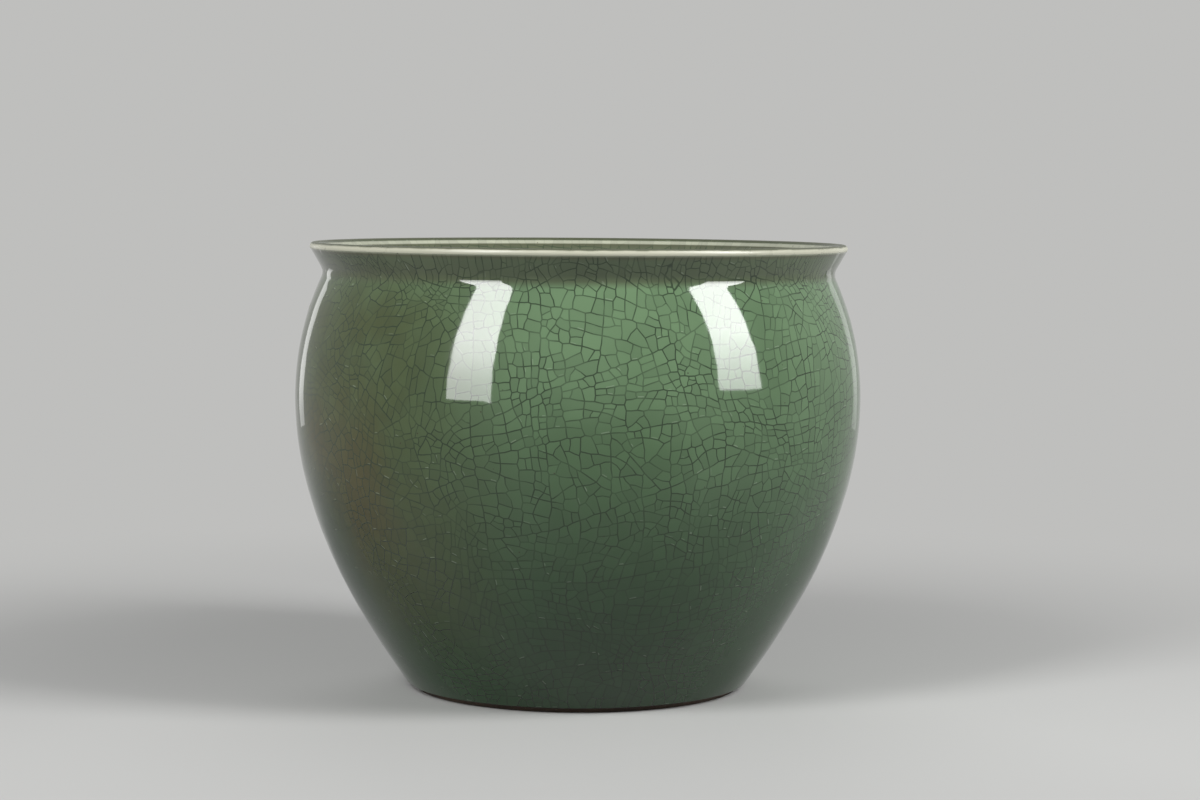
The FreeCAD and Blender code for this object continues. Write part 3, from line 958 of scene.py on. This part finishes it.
def lay_cells(net, sheet):
    """Adds a cracked sheet to a net. It gives the rings at the sheet's low and high edges."""
    strength = [0.0] * len(sheet.points)
    for (_, _, strong), marks in zip(sheet.cracks, sheet.marks):
        for _, point in marks:
            strength[point] = max(strength[point], strong)
    near_pole = [min(1.0, max(0.0, sheet.radius_at(y) - POLE_NEAR) / POLE_FADE) for _, y in sheet.points]
    index = [net.point(x, y, s * fade) for (x, y), s, fade in zip(sheet.points, strength, near_pole)]
    for cell in sheet.cells:
        points = []
        for crack, start, end, _ in cell:
            between = [p for share, p in sheet.marks[crack]
                       if min(start, end) - HAIR <= share <= max(start, end) + HAIR]
            points += (between if end > start else between[::-1])[:-1]
        place = np.array([sheet.points[p] for p in points])
        place[:, 0] -= FULL_TURN * np.round((place[:, 0] - place[0, 0]) / FULL_TURN)
        radius = sheet.radius_at(place[:, 1].mean())
        corners = place[:, 0] * radius + 1j * place[:, 1]
        tone = sheet.random.random()
        rows = [[index[p] for p in points]]
        # a picked cell gets a second ring, and the strip along its lowest side carries the painted highlight
        lifted = sheet.random.random() < GLINT_CELL_SHARE
        for reach in (CRACK_REACH, GLINT_REACH)[:1 + lifted]:
            inner = drawn_in(corners, reach)
            rows.append([net.point(p.real / radius, p.imag) for p in inner])
        downward = ((np.roll(corners, -1) - corners) * GLINT_WAY).real
        lowest, glint = int(np.argmax(downward)), sheet.random.uniform(*GLINTS)
        for level, (row, next_row) in enumerate(zip(rows, rows[1:])):
            for k in range(len(row)):
                n = (k + 1) % len(row)
                shine = glint if level == 1 and k == lowest else 0.0
                net.face((row[k], row[n], next_row[n], next_row[k]), tone, shine)
        heights = inner.imag
        if any(heights.min() < level < heights.max() for level in sheet.levels):
            for corners in strips(rows[-1], heights):
                net.face(corners, tone)
        else:
            net.face(rows[-1], tone)
    return [[index[p] for _, p in sheet.marks[edge][:-1]] for edge in (LOW_EDGE, HIGH_EDGE)]


def cracked_sheet(points, low, high, seed, levels, narrowed=((0.0, 1.0),)):
    """Cracks the part of an outline between two lengths.

    levels are the lengths at which every crack gets a point, and narrowed says where and how much narrower
    the cells are.
    """
    lengths, radii = lengths_of(points), [p.x for p in points]

    def radius_at(length):
        return float(np.interp(length, lengths, radii))

    narrow_ends, widths = zip(*narrowed)
    sheet = Sheet(lambda length: radius_at(length) * float(np.interp(length, narrow_ends, widths)),
                  low, high, seed)
    crack_sheet(sheet, CELL_AREA)
    sheet.radius_at, sheet.levels = radius_at, levels
    add_bends(sheet)
    bow_cracks(sheet)
    bend_cracks(sheet, seed)
    areas = [moments(sheet.corners(cell)[0])[0] for cell in sheet.cells]
    print(len(sheet.cells), "cells, on average", round(sqrt(np.mean(areas)) * 1000, 2), "mm across")
    return sheet


print("laying ready")

# %% [markdown]
# ## What the crackle does to the glaze
#
# The crack lines, the tone of each cell and a painted highlight along the lowest edge of a few cells reach
# the materials as attributes. One node group reads them and gives them out as masks, so that the outside
# and the inside share the same crackle with their own colours. A crack takes up more stain in some places
# than in others, so a slow noise makes the lines stronger and weaker. A second group gives both coats their
# pinholes: specks where a bubble in the glaze has burst and taken up dirt. A Voronoi texture does that
# well, because the distance to its nearest point is small only in a few round spots.

# %% Crackle and pinholes
STAIN_SCALE, PINHOLE_SPACING, PINHOLE_SIZE = 55.0, 0.013, 0.055
LINE_SOFTNESS, UNEVENNESS = 0.55, 0.45


def ramp(tree, value, low, high, to_low=0.0, to_high=1.0):
    """A soft change of a value from one end of a range to the other."""
    return add(tree, "ShaderNodeMapRange", {"Value": value, "From Min": low, "From Max": high,
                                            "To Min": to_low, "To Max": to_high},
               interpolation_type="SMOOTHSTEP").outputs[0]


def kept(tree, label):
    """Reads a named attribute of the piece."""
    return add(tree, "ShaderNodeAttribute", attribute_name=label).outputs["Fac"]


def noise(tree, place, scale, detail, **inputs):
    """A cloudy value about 0.5; the scale is in clouds for each metre."""
    inputs |= {"Vector": place, "Scale": scale, "Detail": detail}
    return add(tree, "ShaderNodeTexNoise", inputs).outputs[0]


def make_crackle():
    """Masks for the dark lines, for the tone of each cell and for a painted highlight on a few cell edges."""
    tree, given, result = new_group("crackle", "ShaderNodeTree", [
        ("Vector", "NodeSocketVector", None),
        ("Line Softness", "NodeSocketFloat", LINE_SOFTNESS),
        ("Unevenness", "NodeSocketFloat", UNEVENNESS),
    ], [("Cracks", "NodeSocketFloat"), ("Cell Tone", "NodeSocketFloat"), ("Glint", "NodeSocketFloat")])
    cloud = noise(tree, given.outputs["Vector"], STAIN_SCALE, 2.0)
    weak = ramp(tree, cloud, 0.62, 0.36, 0.0, given.outputs["Unevenness"])
    line = ramp(tree, kept(tree, CRACK), 0.06, given.outputs["Line Softness"])
    put(tree, result.inputs["Cracks"], calc(tree, "MULTIPLY", line, calc(tree, "SUBTRACT", 1.0, weak)))
    put(tree, result.inputs["Cell Tone"], kept(tree, TONE))
    put(tree, result.inputs["Glint"], kept(tree, GLINT))
    return tree


def make_pinholes():
    """A mask for a few dark specks."""
    tree, given, result = new_group("pinholes", "ShaderNodeTree", [
        ("Vector", "NodeSocketVector", None),
        ("Spacing", "NodeSocketFloat", PINHOLE_SPACING),
        ("Size", "NodeSocketFloat", PINHOLE_SIZE),
    ], [("Specks", "NodeSocketFloat")])
    scale = calc(tree, "DIVIDE", 1.0, given.outputs["Spacing"])
    bubbles = add(tree, "ShaderNodeTexVoronoi", {"Vector": given.outputs["Vector"], "Scale": scale})
    inner = calc(tree, "MULTIPLY", given.outputs["Size"], 0.5)
    put(tree, result.inputs["Specks"], ramp(tree, bubbles.outputs["Distance"], given.outputs["Size"], inner))
    return tree


crackle, pinholes = make_crackle(), make_pinholes()
print("the crackle group has", len(crackle.nodes), "nodes, and the pinholes group", len(pinholes.nodes))

# %% [markdown]
# ## The celadon
#
# Celadon is green because the glaze holds a little iron and is clear enough to see into, so its colour
# changes with its depth. It is thin and olive under the lip, pale on the shoulder, and much darker towards
# the foot: partly glaze that ran and gathered there, and partly painted shade. One broad patch on the left
# of the front is olive and brownish, with a bluish green one lower down. A subsurface shader could show
# that depth, but it is slow, and the glaze is only a millimetre thick. So all of it is colour, laid in the
# order in which it lies on the pot: body of the glaze, patches, lip, cracks, specks. The gloss is the same
# everywhere, under a skin that is as smooth as glass.

# %% Glaze colours
GLAZE_IOR = 1.6
# the darkest green, towards the foot: partly glaze that pooled there, partly painted shade
POOLED_AND_SHADED_GREEN = (0.014, 0.060, 0.015, 1.0)
# the pale colour of the painted highlight on a few cell edges, and the dark colour of the pinhole specks
PAINTED_GLINT_COLOUR, SPECK_COLOUR = (0.42, 0.50, 0.38, 1.0), (0.035, 0.026, 0.014, 1.0)
PAINTED_GLINT_STRENGTH, SPECK_STRENGTH = 0.30, 0.75
CLOUDS, MOTTLES, SMEARS = 9.0, 21.0, 26.0
# heights where the darkening towards the foot, painted shade and pooled glaze, begins and is full
POOL_AND_SHADE_FROM, POOL_AND_SHADE_ALL = 0.27, 0.05
CRACK_STRENGTH, PALE_CRACK_STRENGTH = 0.92, 0.12
PALEST_CELL, DARKEST_CELL = 1.08, 0.92
GLAZE_ROUGHNESS = 0.04, 0.08
PATCH_BEGINS, PATCH_FULL = 0.05, 0.03
# A patch is: azimuth, half width where it begins and where it is full, lowest and highest, strength, colour.
# The first is the broad olive one, the second its browner heart, the third bluish green and lower.
LEFT_PATCHES = (
    (radians(-62), radians(55), radians(10), 0.060, 0.300, 0.92, (0.048, 0.062, 0.014, 1.0)),
    (radians(-56), radians(20), radians(3), 0.120, 0.200, 0.60, (0.080, 0.052, 0.008, 1.0)),
    (radians(-78), radians(26), radians(6), 0.050, 0.150, 0.60, (0.010, 0.066, 0.036, 1.0)),
)
LIP_LOW, LIP_HIGH = 0.296, lip_centre.y + lip_roll
PALE_FROM, PALE_ALL = 0.3160, 0.3180
PALE, OLIVE, BROWNISH = (0.56, 0.56, 0.44), (0.070, 0.080, 0.040), (0.085, 0.080, 0.042)


def lip_share(height):
    """Where a height in metres lies in the range of the lip's bands."""
    return (height - LIP_LOW) / (LIP_HIGH - LIP_LOW)


print("the lip's bands run from", LIP_LOW, "to", round(LIP_HIGH, 4), "m")

# %% Glaze material


def colour_mix(tree, factor, first, second):
    """The first colour where the factor is 0, and the second where it is 1."""
    return add(tree, "ShaderNodeMix", {0: factor, 6: first, 7: second}, data_type="RGBA").outputs[2]


def new_material(name):
    """A material with a Principled shader; returns it, its tree, the shader and the Object coordinates."""
    material = bpy.data.materials.new(name)
    material.use_nodes = True
    tree = material.node_tree
    tree.nodes.clear()
    shader = add(tree, "ShaderNodeBsdfPrincipled")
    add(tree, "ShaderNodeOutputMaterial", {"Surface": shader.outputs[0]})
    return material, tree, shader, add(tree, "ShaderNodeTexCoord").outputs["Object"]


def bands(tree, value, low, high, stops):
    """A colour and its strength along a range, from stops of (share of the range, colour, strength)."""
    share = add(tree, "ShaderNodeMapRange", {"Value": value, "From Min": low, "From Max": high}).outputs[0]
    made = add(tree, "ShaderNodeValToRGB", {0: share})
    elements = made.color_ramp.elements
    while len(elements) < len(stops):
        elements.new(0.5)
    for element, (at, colour, strength) in zip(elements, stops):
        element.position, element.color = at, (*colour, strength)
    return made.outputs["Color"], made.outputs["Alpha"]


def group(tree, which, place):
    """A shader group in a material, reading the material's coordinates."""
    placed = add(tree, "ShaderNodeGroup", node_tree=which)
    put(tree, placed.inputs["Vector"], place)
    return placed


def with_patches(tree, colour, place, height, patches):
    """A colour with patches of other colours laid over it, each round an azimuth and between two heights."""
    outwards = vector_calc(tree, "NORMALIZE", vector_calc(tree, "MULTIPLY", place, (1.0, 1.0, 0.0)))
    uneven = ramp(tree, noise(tree, place, MOTTLES, 5.0, Roughness=0.55), 0.34, 0.66, 0.78, 1.0)
    for azimuth, widest, narrowest, low, high, strength, patch_colour in patches:
        towards = (sin(azimuth), -cos(azimuth), 0.0)
        near = ramp(tree, vector_calc(tree, "DOT_PRODUCT", outwards, towards), cos(widest), cos(narrowest))
        above = ramp(tree, height, low - PATCH_BEGINS, low + PATCH_FULL)
        below = ramp(tree, height, high + PATCH_BEGINS, high - PATCH_FULL, 0.0, strength)
        tall = calc(tree, "MULTIPLY", above, below)
        amount = calc(tree, "MULTIPLY", calc(tree, "MULTIPLY", near, tall), uneven)
        colour = colour_mix(tree, amount, colour, patch_colour)
    return colour


def make_celadon(name, light, deep, crack, pool_and_shade, patches, lip_bands):
    """A glaze between two colours, darker below with painted shade and pooled glaze, with its patches, the
    bands at its lip and its crackle.
    """
    material, tree, shader, place = new_material(name)
    net = group(tree, crackle, place)
    height = add(tree, "ShaderNodeSeparateXYZ", {0: place}).outputs["Z"]

    colour = colour_mix(tree, ramp(tree, noise(tree, place, CLOUDS, 3.0), 0.35, 0.68), light, deep)
    # darker towards the foot: painted shade, and partly glaze that pooled there
    colour = colour_mix(tree, ramp(tree, height, POOL_AND_SHADE_FROM, POOL_AND_SHADE_ALL, 0.0, pool_and_shade), colour, POOLED_AND_SHADED_GREEN)
    colour = with_patches(tree, colour, place, height, patches)
    lip_colour, lip_strength = bands(tree, height, LIP_LOW, LIP_HIGH, lip_bands)
    colour = colour_mix(tree, lip_strength, colour, lip_colour)

    tone = ramp(tree, net.outputs["Cell Tone"], 0.0, 1.0, DARKEST_CELL, PALEST_CELL)
    colour = scaled(tree, colour, tone)
    strongest = ramp(tree, height, PALE_FROM, PALE_ALL, CRACK_STRENGTH, PALE_CRACK_STRENGTH)
    colour = colour_mix(tree, calc(tree, "MULTIPLY", net.outputs["Cracks"], strongest), colour, crack)
    # painted highlight: a pale strip along the lowest edge of a few cells
    glint = calc(tree, "MULTIPLY", net.outputs["Glint"], PAINTED_GLINT_STRENGTH)
    colour = colour_mix(tree, glint, colour, PAINTED_GLINT_COLOUR)
    speck = calc(tree, "MULTIPLY", group(tree, pinholes, place).outputs[0], SPECK_STRENGTH)
    colour = colour_mix(tree, speck, colour, SPECK_COLOUR)
    put(tree, shader.inputs["Base Color"], colour)

    smear = noise(tree, place, SMEARS, 3.0)
    put(tree, shader.inputs["Roughness"], ramp(tree, smear, 0.35, 0.75, *GLAZE_ROUGHNESS))
    shader.inputs["IOR"].default_value = GLAZE_IOR
    return material


print("glaze ready")

# %% [markdown]
# ## The outside coat
#
# This coat is what the picture is about: it runs from the lip, round the neck and the belly, to a rounded
# edge just above the foot, where the potter wiped it off so that it wouldn't stick to the kiln shelf. The
# side that shows is the cracked sheet. The side that lies on the clay, and the edge, are plain rings, so
# the coat is a closed skin one millimetre thick. At the neck the cells are narrower, as on the real pot,
# and the cracks get a point every millimetre or so, because the wall bends tightly there.

# %% The outside coat
NOSE = glaze_coat / 2
HEM_STEPS = 6
CORNER_GAP = 0.00001
BACK_COLUMNS = 180
NECK_STEP = 0.0012  # between the levels where every crack at the neck gets a point
NARROWING, NARROWER = 0.010, 1.4  # the cells get narrower from this far below the neck, by this factor
OUTSIDE_SEED = 4
OUTSIDE_LIGHT, OUTSIDE_DEEP = (0.126, 0.216, 0.108, 1.0), (0.094, 0.172, 0.079, 1.0)
OUTSIDE_WAVES = 0.00016, 0.036, 3.0  # height, size and seed
# the colour of the outside's cracks, and how strongly it darkens towards the foot (painted shade, partly
# pooled glaze)
OUTSIDE_CRACK, OUTSIDE_POOL_AND_SHADE = (0.015, 0.034, 0.012, 1.0), 0.88
OUTSIDE_LIP = ((0.0, OLIVE, 0.0), (lip_share(0.3010), OLIVE, 0.75), (lip_share(0.3145), OLIVE, 0.60),
               (lip_share(0.3170), BROWNISH, 0.85), (lip_share(0.3185), PALE, 0.5))


def hem():
    """The rounded lower edge of the coat, from its clay side to its outer side."""
    middle = edge - facing(edge_lean) * NOSE
    return [middle + facing(edge_lean + pi * (1 - i / HEM_STEPS)) * NOSE for i in range(HEM_STEPS + 1)]


def short_of_end(points):
    """Adds a point just before the last one, so that a sharp corner there doesn't round off the wall."""
    before, last = points[-2:]
    return points[:-1] + [last.lerp(before, CORNER_GAP / (last - before).length), last]


def length_at(points, place):
    """How far along an outline a place on it is."""
    nearest = min(range(len(points)), key=lambda i: (points[i] - place).length)
    return lengths_of(points)[nearest]


def closing_rings(net, lengths):
    """Plain rings at the lengths of the side that doesn't show."""
    return [net.ring(length, BACK_COLUMNS) for length in lengths]


celadon_outside = make_celadon("crackled_celadon_outside", OUTSIDE_LIGHT, OUTSIDE_DEEP, OUTSIDE_CRACK,
                               OUTSIDE_POOL_AND_SHADE, LEFT_PATCHES, OUTSIDE_LIP)
shown = short_of_end(outside_wall(FINE, TIGHT))
hidden = chain(outside_wall(HIDDEN, HIDDEN_TIGHT, glaze_coat)[::-1], hem()[1:])
outline = shown + hidden
top = lengths_of(shown)[-1]
neck_start, neck_end = length_at(shown, shoulder_top), length_at(shown, along(neck_bend, TIGHT)[-1])
neck_levels = np.linspace(neck_start - NECK_STEP, neck_end + NECK_STEP,
                          round((neck_end - neck_start) / NECK_STEP) + 3)
sheet = cracked_sheet(shown, 0.0, top - 2 * CORNER_GAP, OUTSIDE_SEED, list(neck_levels),
                      ((0.0, 1.0), (neck_start - NARROWING, 1.0), (neck_end, NARROWER), (top, NARROWER)))
net = Net()
low_ring, high_ring = lay_cells(net, sheet)
cells_end = len(net.places)
rings = [high_ring, *closing_rings(net, lengths_of(outline)[len(shown) - 1:-1]), low_ring]
for low, high in zip(rings, rings[1:]):
    net.stitch(low, high)
outside_glaze = turn("celadon_coat_outside", net, outline, celadon_outside, range(cells_end), *OUTSIDE_WAVES)
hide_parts("outside_glaze")
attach(outside_glaze, "root")
tell(outside_glaze)

# %% [markdown]
# ## The inside coat
#
# Only the top centimetre of the inside shows in the picture, at the far side of the mouth: a pale line
# under the roll of the lip, and green below it. The rest is made the same way as the outside, with a
# paler glaze, as on pots of this kind. The cracked sheet runs down the wall and over the floor, where the
# cells shrink towards the axis, and a small plain disc closes it there.

# %% The inside coat
DISC = 0.004  # radius of the plain disc in the middle of the floor
THROAT_STEP = 0.0026
INSIDE_SEED = 11
INSIDE_WAVES = 0.00014, 0.038, 8.0
INSIDE_LIGHT, INSIDE_DEEP = (0.165, 0.245, 0.150, 1.0), (0.130, 0.203, 0.115, 1.0)
# the colour of the inside's cracks, and how strongly it darkens towards the floor (painted shade, partly
# pooled glaze)
INSIDE_CRACK, INSIDE_POOL_AND_SHADE = (0.024, 0.048, 0.020, 1.0), 0.30
INSIDE_LIP = ((lip_share(0.3040), BROWNISH, 0.0), (lip_share(0.3120), BROWNISH, 0.55),
              (lip_share(0.3178), BROWNISH, 0.85), (lip_share(0.3186), PALE, 0.75),
              (lip_share(0.3202), PALE, 0.75), (lip_share(0.3210), OLIVE, 0.9))

celadon_inside = make_celadon("crackled_celadon_inside", INSIDE_LIGHT, INSIDE_DEEP, INSIDE_CRACK,
                              INSIDE_POOL_AND_SHADE, (), INSIDE_LIP)
shown = short_of_end(short_of_end(inside_wall(FINE, TIGHT))[::-1])[::-1]
hidden = inside_wall(HIDDEN, HIDDEN_TIGHT, glaze_coat)[::-1]
outline = shown + hidden + shown[:1]
floor_end = lengths_of(shown)[-1]
throat = along((throat_centre, throat_curve, throat_bend[2], throat_bend[3]), TIGHT)
throat_start, throat_end = length_at(shown, throat[0]), length_at(shown, throat[-1])
throat_levels = np.linspace(throat_start, throat_end, round((throat_end - throat_start) / THROAT_STEP) + 1)
sheet = cracked_sheet(shown, 2 * CORNER_GAP, floor_end - DISC, INSIDE_SEED, list(throat_levels))
net = Net()
low_ring, high_ring = lay_cells(net, sheet)
cells_end = len(net.places)
lengths = lengths_of(outline)
floor_pole, clay_pole = net.point(0.0, floor_end - 1.5 * CORNER_GAP), net.point(0.0, lengths[len(shown)])
back = closing_rings(net, lengths[len(shown) + 1:])
for low, high in ((high_ring, floor_pole), (clay_pole, back[0]), *zip(back, back[1:]), (back[-1], low_ring)):
    net.stitch(low, high)
wavy = [*range(cells_end), floor_pole]
inside_glaze = turn("celadon_coat_inside", net, outline, celadon_inside, wavy, *INSIDE_WAVES)
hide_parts("inside_glaze")
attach(inside_glaze, "root")
tell(inside_glaze)

# %% [markdown]
# ## The pale edge of the lip
#
# The roll of the lip has no crackle and is duller than the rest, so it is a piece of its own: a plain
# turned ring, pale on the side that faces out, and olive over the top.

# %% The pale edge of the lip
COLUMNS = 360
RIM_CLOUDS, RIM_ROUGHNESS = 60.0, (0.26, 0.38)
RIM_OLIVE_TO, RIM_PALE_FROM, RIM_WAVER = 0.60, 0.95, 0.06  # in radii of the roll, out from its centre


def make_pale_rim():
    """Pale where the roll faces outwards, and olive on top."""
    material, tree, shader, place = new_material("pale_edge")
    flat = vector_calc(tree, "LENGTH", vector_calc(tree, "MULTIPLY", place, (1.0, 1.0, 0.0)))
    outwards = calc(tree, "DIVIDE", calc(tree, "SUBTRACT", flat, lip_centre.x), lip_roll)
    cloud = noise(tree, place, RIM_CLOUDS, 3.0)
    thin = calc(tree, "ADD", outwards, ramp(tree, cloud, 0.3, 0.7, -RIM_WAVER, RIM_WAVER))
    colour = colour_mix(tree, ramp(tree, thin, RIM_OLIVE_TO, RIM_PALE_FROM), (*OLIVE, 1.0), (*PALE, 1.0))
    put(tree, shader.inputs["Base Color"], colour)
    put(tree, shader.inputs["Roughness"], ramp(tree, cloud, 0.3, 0.7, *RIM_ROUGHNESS))
    shader.inputs["IOR"].default_value = GLAZE_IOR
    return material


def plain_net(lengths, closed):
    """Rings at each length. A closed net ends where it began, and another has a pole at each end."""
    net = Net()
    first = net.ring(lengths[0], COLUMNS) if closed else net.point(0.0, lengths[0])
    rings = [first] + [net.ring(length, COLUMNS) for length in lengths[1:-1]]
    rings.append(first if closed else net.point(0.0, lengths[-1]))
    for low, high in zip(rings, rings[1:]):
        net.stitch(low, high)
    return net


pale_rim = make_pale_rim()
outline = chain(along(lip_bend, ROLL_STEP), along(lip_bend, HIDDEN_ROLL, glaze_coat)[::-1])
outline.append(outline[0])
rim_glaze = turn("pale_lip", plain_net(lengths_of(outline), True), outline, pale_rim)
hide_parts("rim_glaze")
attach(rim_glaze, "root")
tell(rim_glaze)

# %% [markdown]
# ## The stoneware
#
# Under the glaze is the body that the potter threw: coarse clay fired hard, dark brown and quite matt, and
# bare only on the foot ring and the recess under it. It fills the whole space between the two coats, down
# to the tread that the pot stands on. It is one plain turned solid with a pole in the middle of the floor
# and another under it. Its grains are far too small to model, so a fine noise gives their colour, their
# roughness and a slight bump.

# %% Bare stoneware
CLAY_DARK, CLAY_LIGHT = (0.055, 0.036, 0.026, 1.0), (0.11, 0.072, 0.048, 1.0)
CLAY_GRIT = (0.20, 0.15, 0.11, 1.0)
GRAINS, CLAY_CLOUDS = 900.0, 30.0
CLAY_ROUGHNESS = 0.75, 0.95
GRIT_HEIGHT, GRIT_STRENGTH = 0.0003, 0.5


def make_stoneware():
    """Rough brown clay with a paler grit."""
    material, tree, shader, place = new_material("rough_stoneware")
    grain, cloud = noise(tree, place, GRAINS, 4.0), noise(tree, place, CLAY_CLOUDS, 4.0)
    colour = colour_mix(tree, ramp(tree, cloud, 0.35, 0.7), CLAY_DARK, CLAY_LIGHT)
    colour = colour_mix(tree, ramp(tree, grain, 0.55, 0.75), colour, CLAY_GRIT)
    put(tree, shader.inputs["Base Color"], colour)
    put(tree, shader.inputs["Roughness"], ramp(tree, grain, 0.3, 0.7, *CLAY_ROUGHNESS))
    bump = add(tree, "ShaderNodeBump", {"Height": grain, "Strength": GRIT_STRENGTH, "Distance": GRIT_HEIGHT})
    put(tree, shader.inputs["Normal"], bump.outputs[0])
    return material


bare_stoneware = make_stoneware()
print("made", bare_stoneware.name)

# %% The stoneware bowl
FOOT_TIGHT = 0.0004


def foot_ring(step, tight):
    """From the middle of the underside out to the edge of the glaze: recess, ring and bevel."""
    bore = edge.x - foot_bevel - foot_width - foot_round
    corner = (Vector((bore - recess_curve, foot_recess - recess_curve)), recess_curve, UP, UPRIGHT)
    toe = (Vector((bore + foot_round, foot_round)), foot_round, -pi, -3 * pi / 2)
    corner_run, toe_run = along(corner, tight), along(toe, tight)
    heel = Vector((edge.x - foot_bevel, 0))
    return chain(straight(Vector((0, foot_recess)), corner_run[0], step), corner_run,
                 straight(corner_run[-1], toe_run[0], step), toe_run, straight(toe_run[-1], heel, step),
                 straight(heel, edge - facing(edge_lean) * glaze_coat, step))


outline = chain(foot_ring(FINE, FOOT_TIGHT), outside_wall(HIDDEN, HIDDEN_TIGHT, glaze_coat),
                along(lip_bend, HIDDEN_ROLL, glaze_coat), inside_wall(HIDDEN, HIDDEN_TIGHT, glaze_coat))
stoneware = turn("stoneware", plain_net(lengths_of(outline), False), outline, bare_stoneware)
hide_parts("stoneware_body")
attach(stoneware, "root")
tell(stoneware)

# %% [markdown]
# ## Floor and light
#
# A glossy round pot shows the whole studio, so the studio has to be plain. The floor is pale and matt, and
# further out it passes softly into a backdrop of the same pale grey, with no horizon. Light that has
# bounced off the floor is held back, so that the pot keeps its dark foot.
#
# Five upright softboxes stand round the pot. Two in front draw the two broad bars on the shoulder, and two
# narrow ones behind draw the thin lines along the edges. The fifth is broad and dim, and lights the back of
# the pot without being mirrored in it. A real softbox is dimmer towards its lower end, and so are these.
# They light the pot at a plain level, where a colour looks about as it is written.

# %% Floor
BACKDROP = (0.52, 0.52, 0.51, 1.0)
FLOOR_COLOUR = (0.56, 0.56, 0.55, 1.0)
BOUNCE_COLOUR = (0.08, 0.08, 0.078, 1.0)
FLOOR_REACH = 12.0
FLOOR_ENDS, BACKDROP_BEGINS = 0.32, 1.0


def seen_directly(tree):
    """1 for rays that show a surface to the camera or in a mirror, and 0 for rays that only light it."""
    path = add(tree, "ShaderNodeLightPath")
    shown = calc(tree, "ADD", path.outputs["Is Camera Ray"], path.outputs["Is Glossy Ray"], clamp=True)
    return calc(tree, "ADD", shown, path.outputs["Is Transmission Ray"], clamp=True)


def make_floor():
    """A flat floor that is lit near the pot and passes into the backdrop further out."""
    mesh = bpy.data.meshes.new("floor")
    r = FLOOR_REACH
    mesh.from_pydata([(-r, -r, 0), (r, -r, 0), (r, r, 0), (-r, r, 0)], [], [(0, 1, 2, 3)])
    floor = show(bpy.data.objects.new("floor", mesh))
    material, tree, shader, place = new_material("floor")
    shown = seen_directly(tree)
    put(tree, shader.inputs["Base Color"], colour_mix(tree, shown, BOUNCE_COLOUR, FLOOR_COLOUR))
    shader.inputs["Roughness"].default_value = 0.9
    shader.inputs["Specular IOR Level"].default_value = 0.0
    glow = add(tree, "ShaderNodeEmission", {"Color": BACKDROP})
    far = ramp(tree, vector_calc(tree, "LENGTH", place), FLOOR_ENDS, BACKDROP_BEGINS)
    backdrop_share = calc(tree, "MULTIPLY", far, shown)
    mixed = add(tree, "ShaderNodeMixShader", {0: backdrop_share, 1: shader.outputs[0], 2: glow.outputs[0]})
    put(tree, tree.nodes["Material Output"].inputs["Surface"], mixed.outputs[0])
    mesh.materials.append(material)
    floor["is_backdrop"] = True


make_floor()
print("floor laid")

# %% Softboxes
DIM_END, DIM_PART = 0.5, 0.35


def softbox(name, azimuth, distance, width, low, high, radiance, reflected=True):
    """An upright rectangular lamp that faces the pot. Azimuth 0 is the camera's side, and 90 the right."""
    light = bpy.data.lights.new(name, "AREA")
    light.shape = "RECTANGLE"
    light.size, light.size_y = width, high - low
    light.energy = radiance * pi * light.size * light.size_y
    light.use_nodes = True
    tree = light.node_tree
    across = add(tree, "ShaderNodeSeparateXYZ", {0: add(tree, "ShaderNodeNewGeometry").outputs["Parametric"]})
    bright = ramp(tree, across.outputs["Y"], 0.0, DIM_PART, DIM_END, 1.0)
    put(tree, tree.nodes["Emission"].inputs["Strength"], bright)
    lamp = show(bpy.data.objects.new(name, light))
    way = radians(azimuth)
    lamp.location = (sin(way) * distance, -cos(way) * distance, (low + high) / 2)
    lamp.rotation_euler = (pi / 2, 0, way)
    lamp.visible_camera, lamp.visible_glossy = False, reflected
    print(name, "gives", round(light.energy, 1), "W")


softbox("front_left_softbox", -41, 1.6, 0.50, 0.25, 2.2, 12.0)
softbox("front_right_softbox", 63.5, 1.6, 0.54, 0.31, 2.2, 13.5)
softbox("back_left_strip", -139, 1.0, 0.13, 0.085, 0.45, 1.2)
softbox("back_right_strip", 141, 1.0, 0.14, 0.085, 0.45, 0.5)
softbox("back_fill", 180, 2.0, 1.6, 0.3, 2.2, 2.2, reflected=False)

# %% Backdrop
AMBIENT = (0.09, 0.092, 0.095, 1.0)


def make_world():
    """The backdrop's grey where it is seen, and a little of it as light."""
    world = bpy.data.worlds.new("world")
    world.use_nodes = True
    tree = world.node_tree
    colour = colour_mix(tree, seen_directly(tree), AMBIENT, BACKDROP)
    put(tree, tree.nodes["Background"].inputs["Color"], colour)
    bpy.context.scene.world = world


make_world()
bpy.context.scene.view_settings.view_transform = "Standard"
print("backdrop hung")

# %% Sizes
low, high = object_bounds()
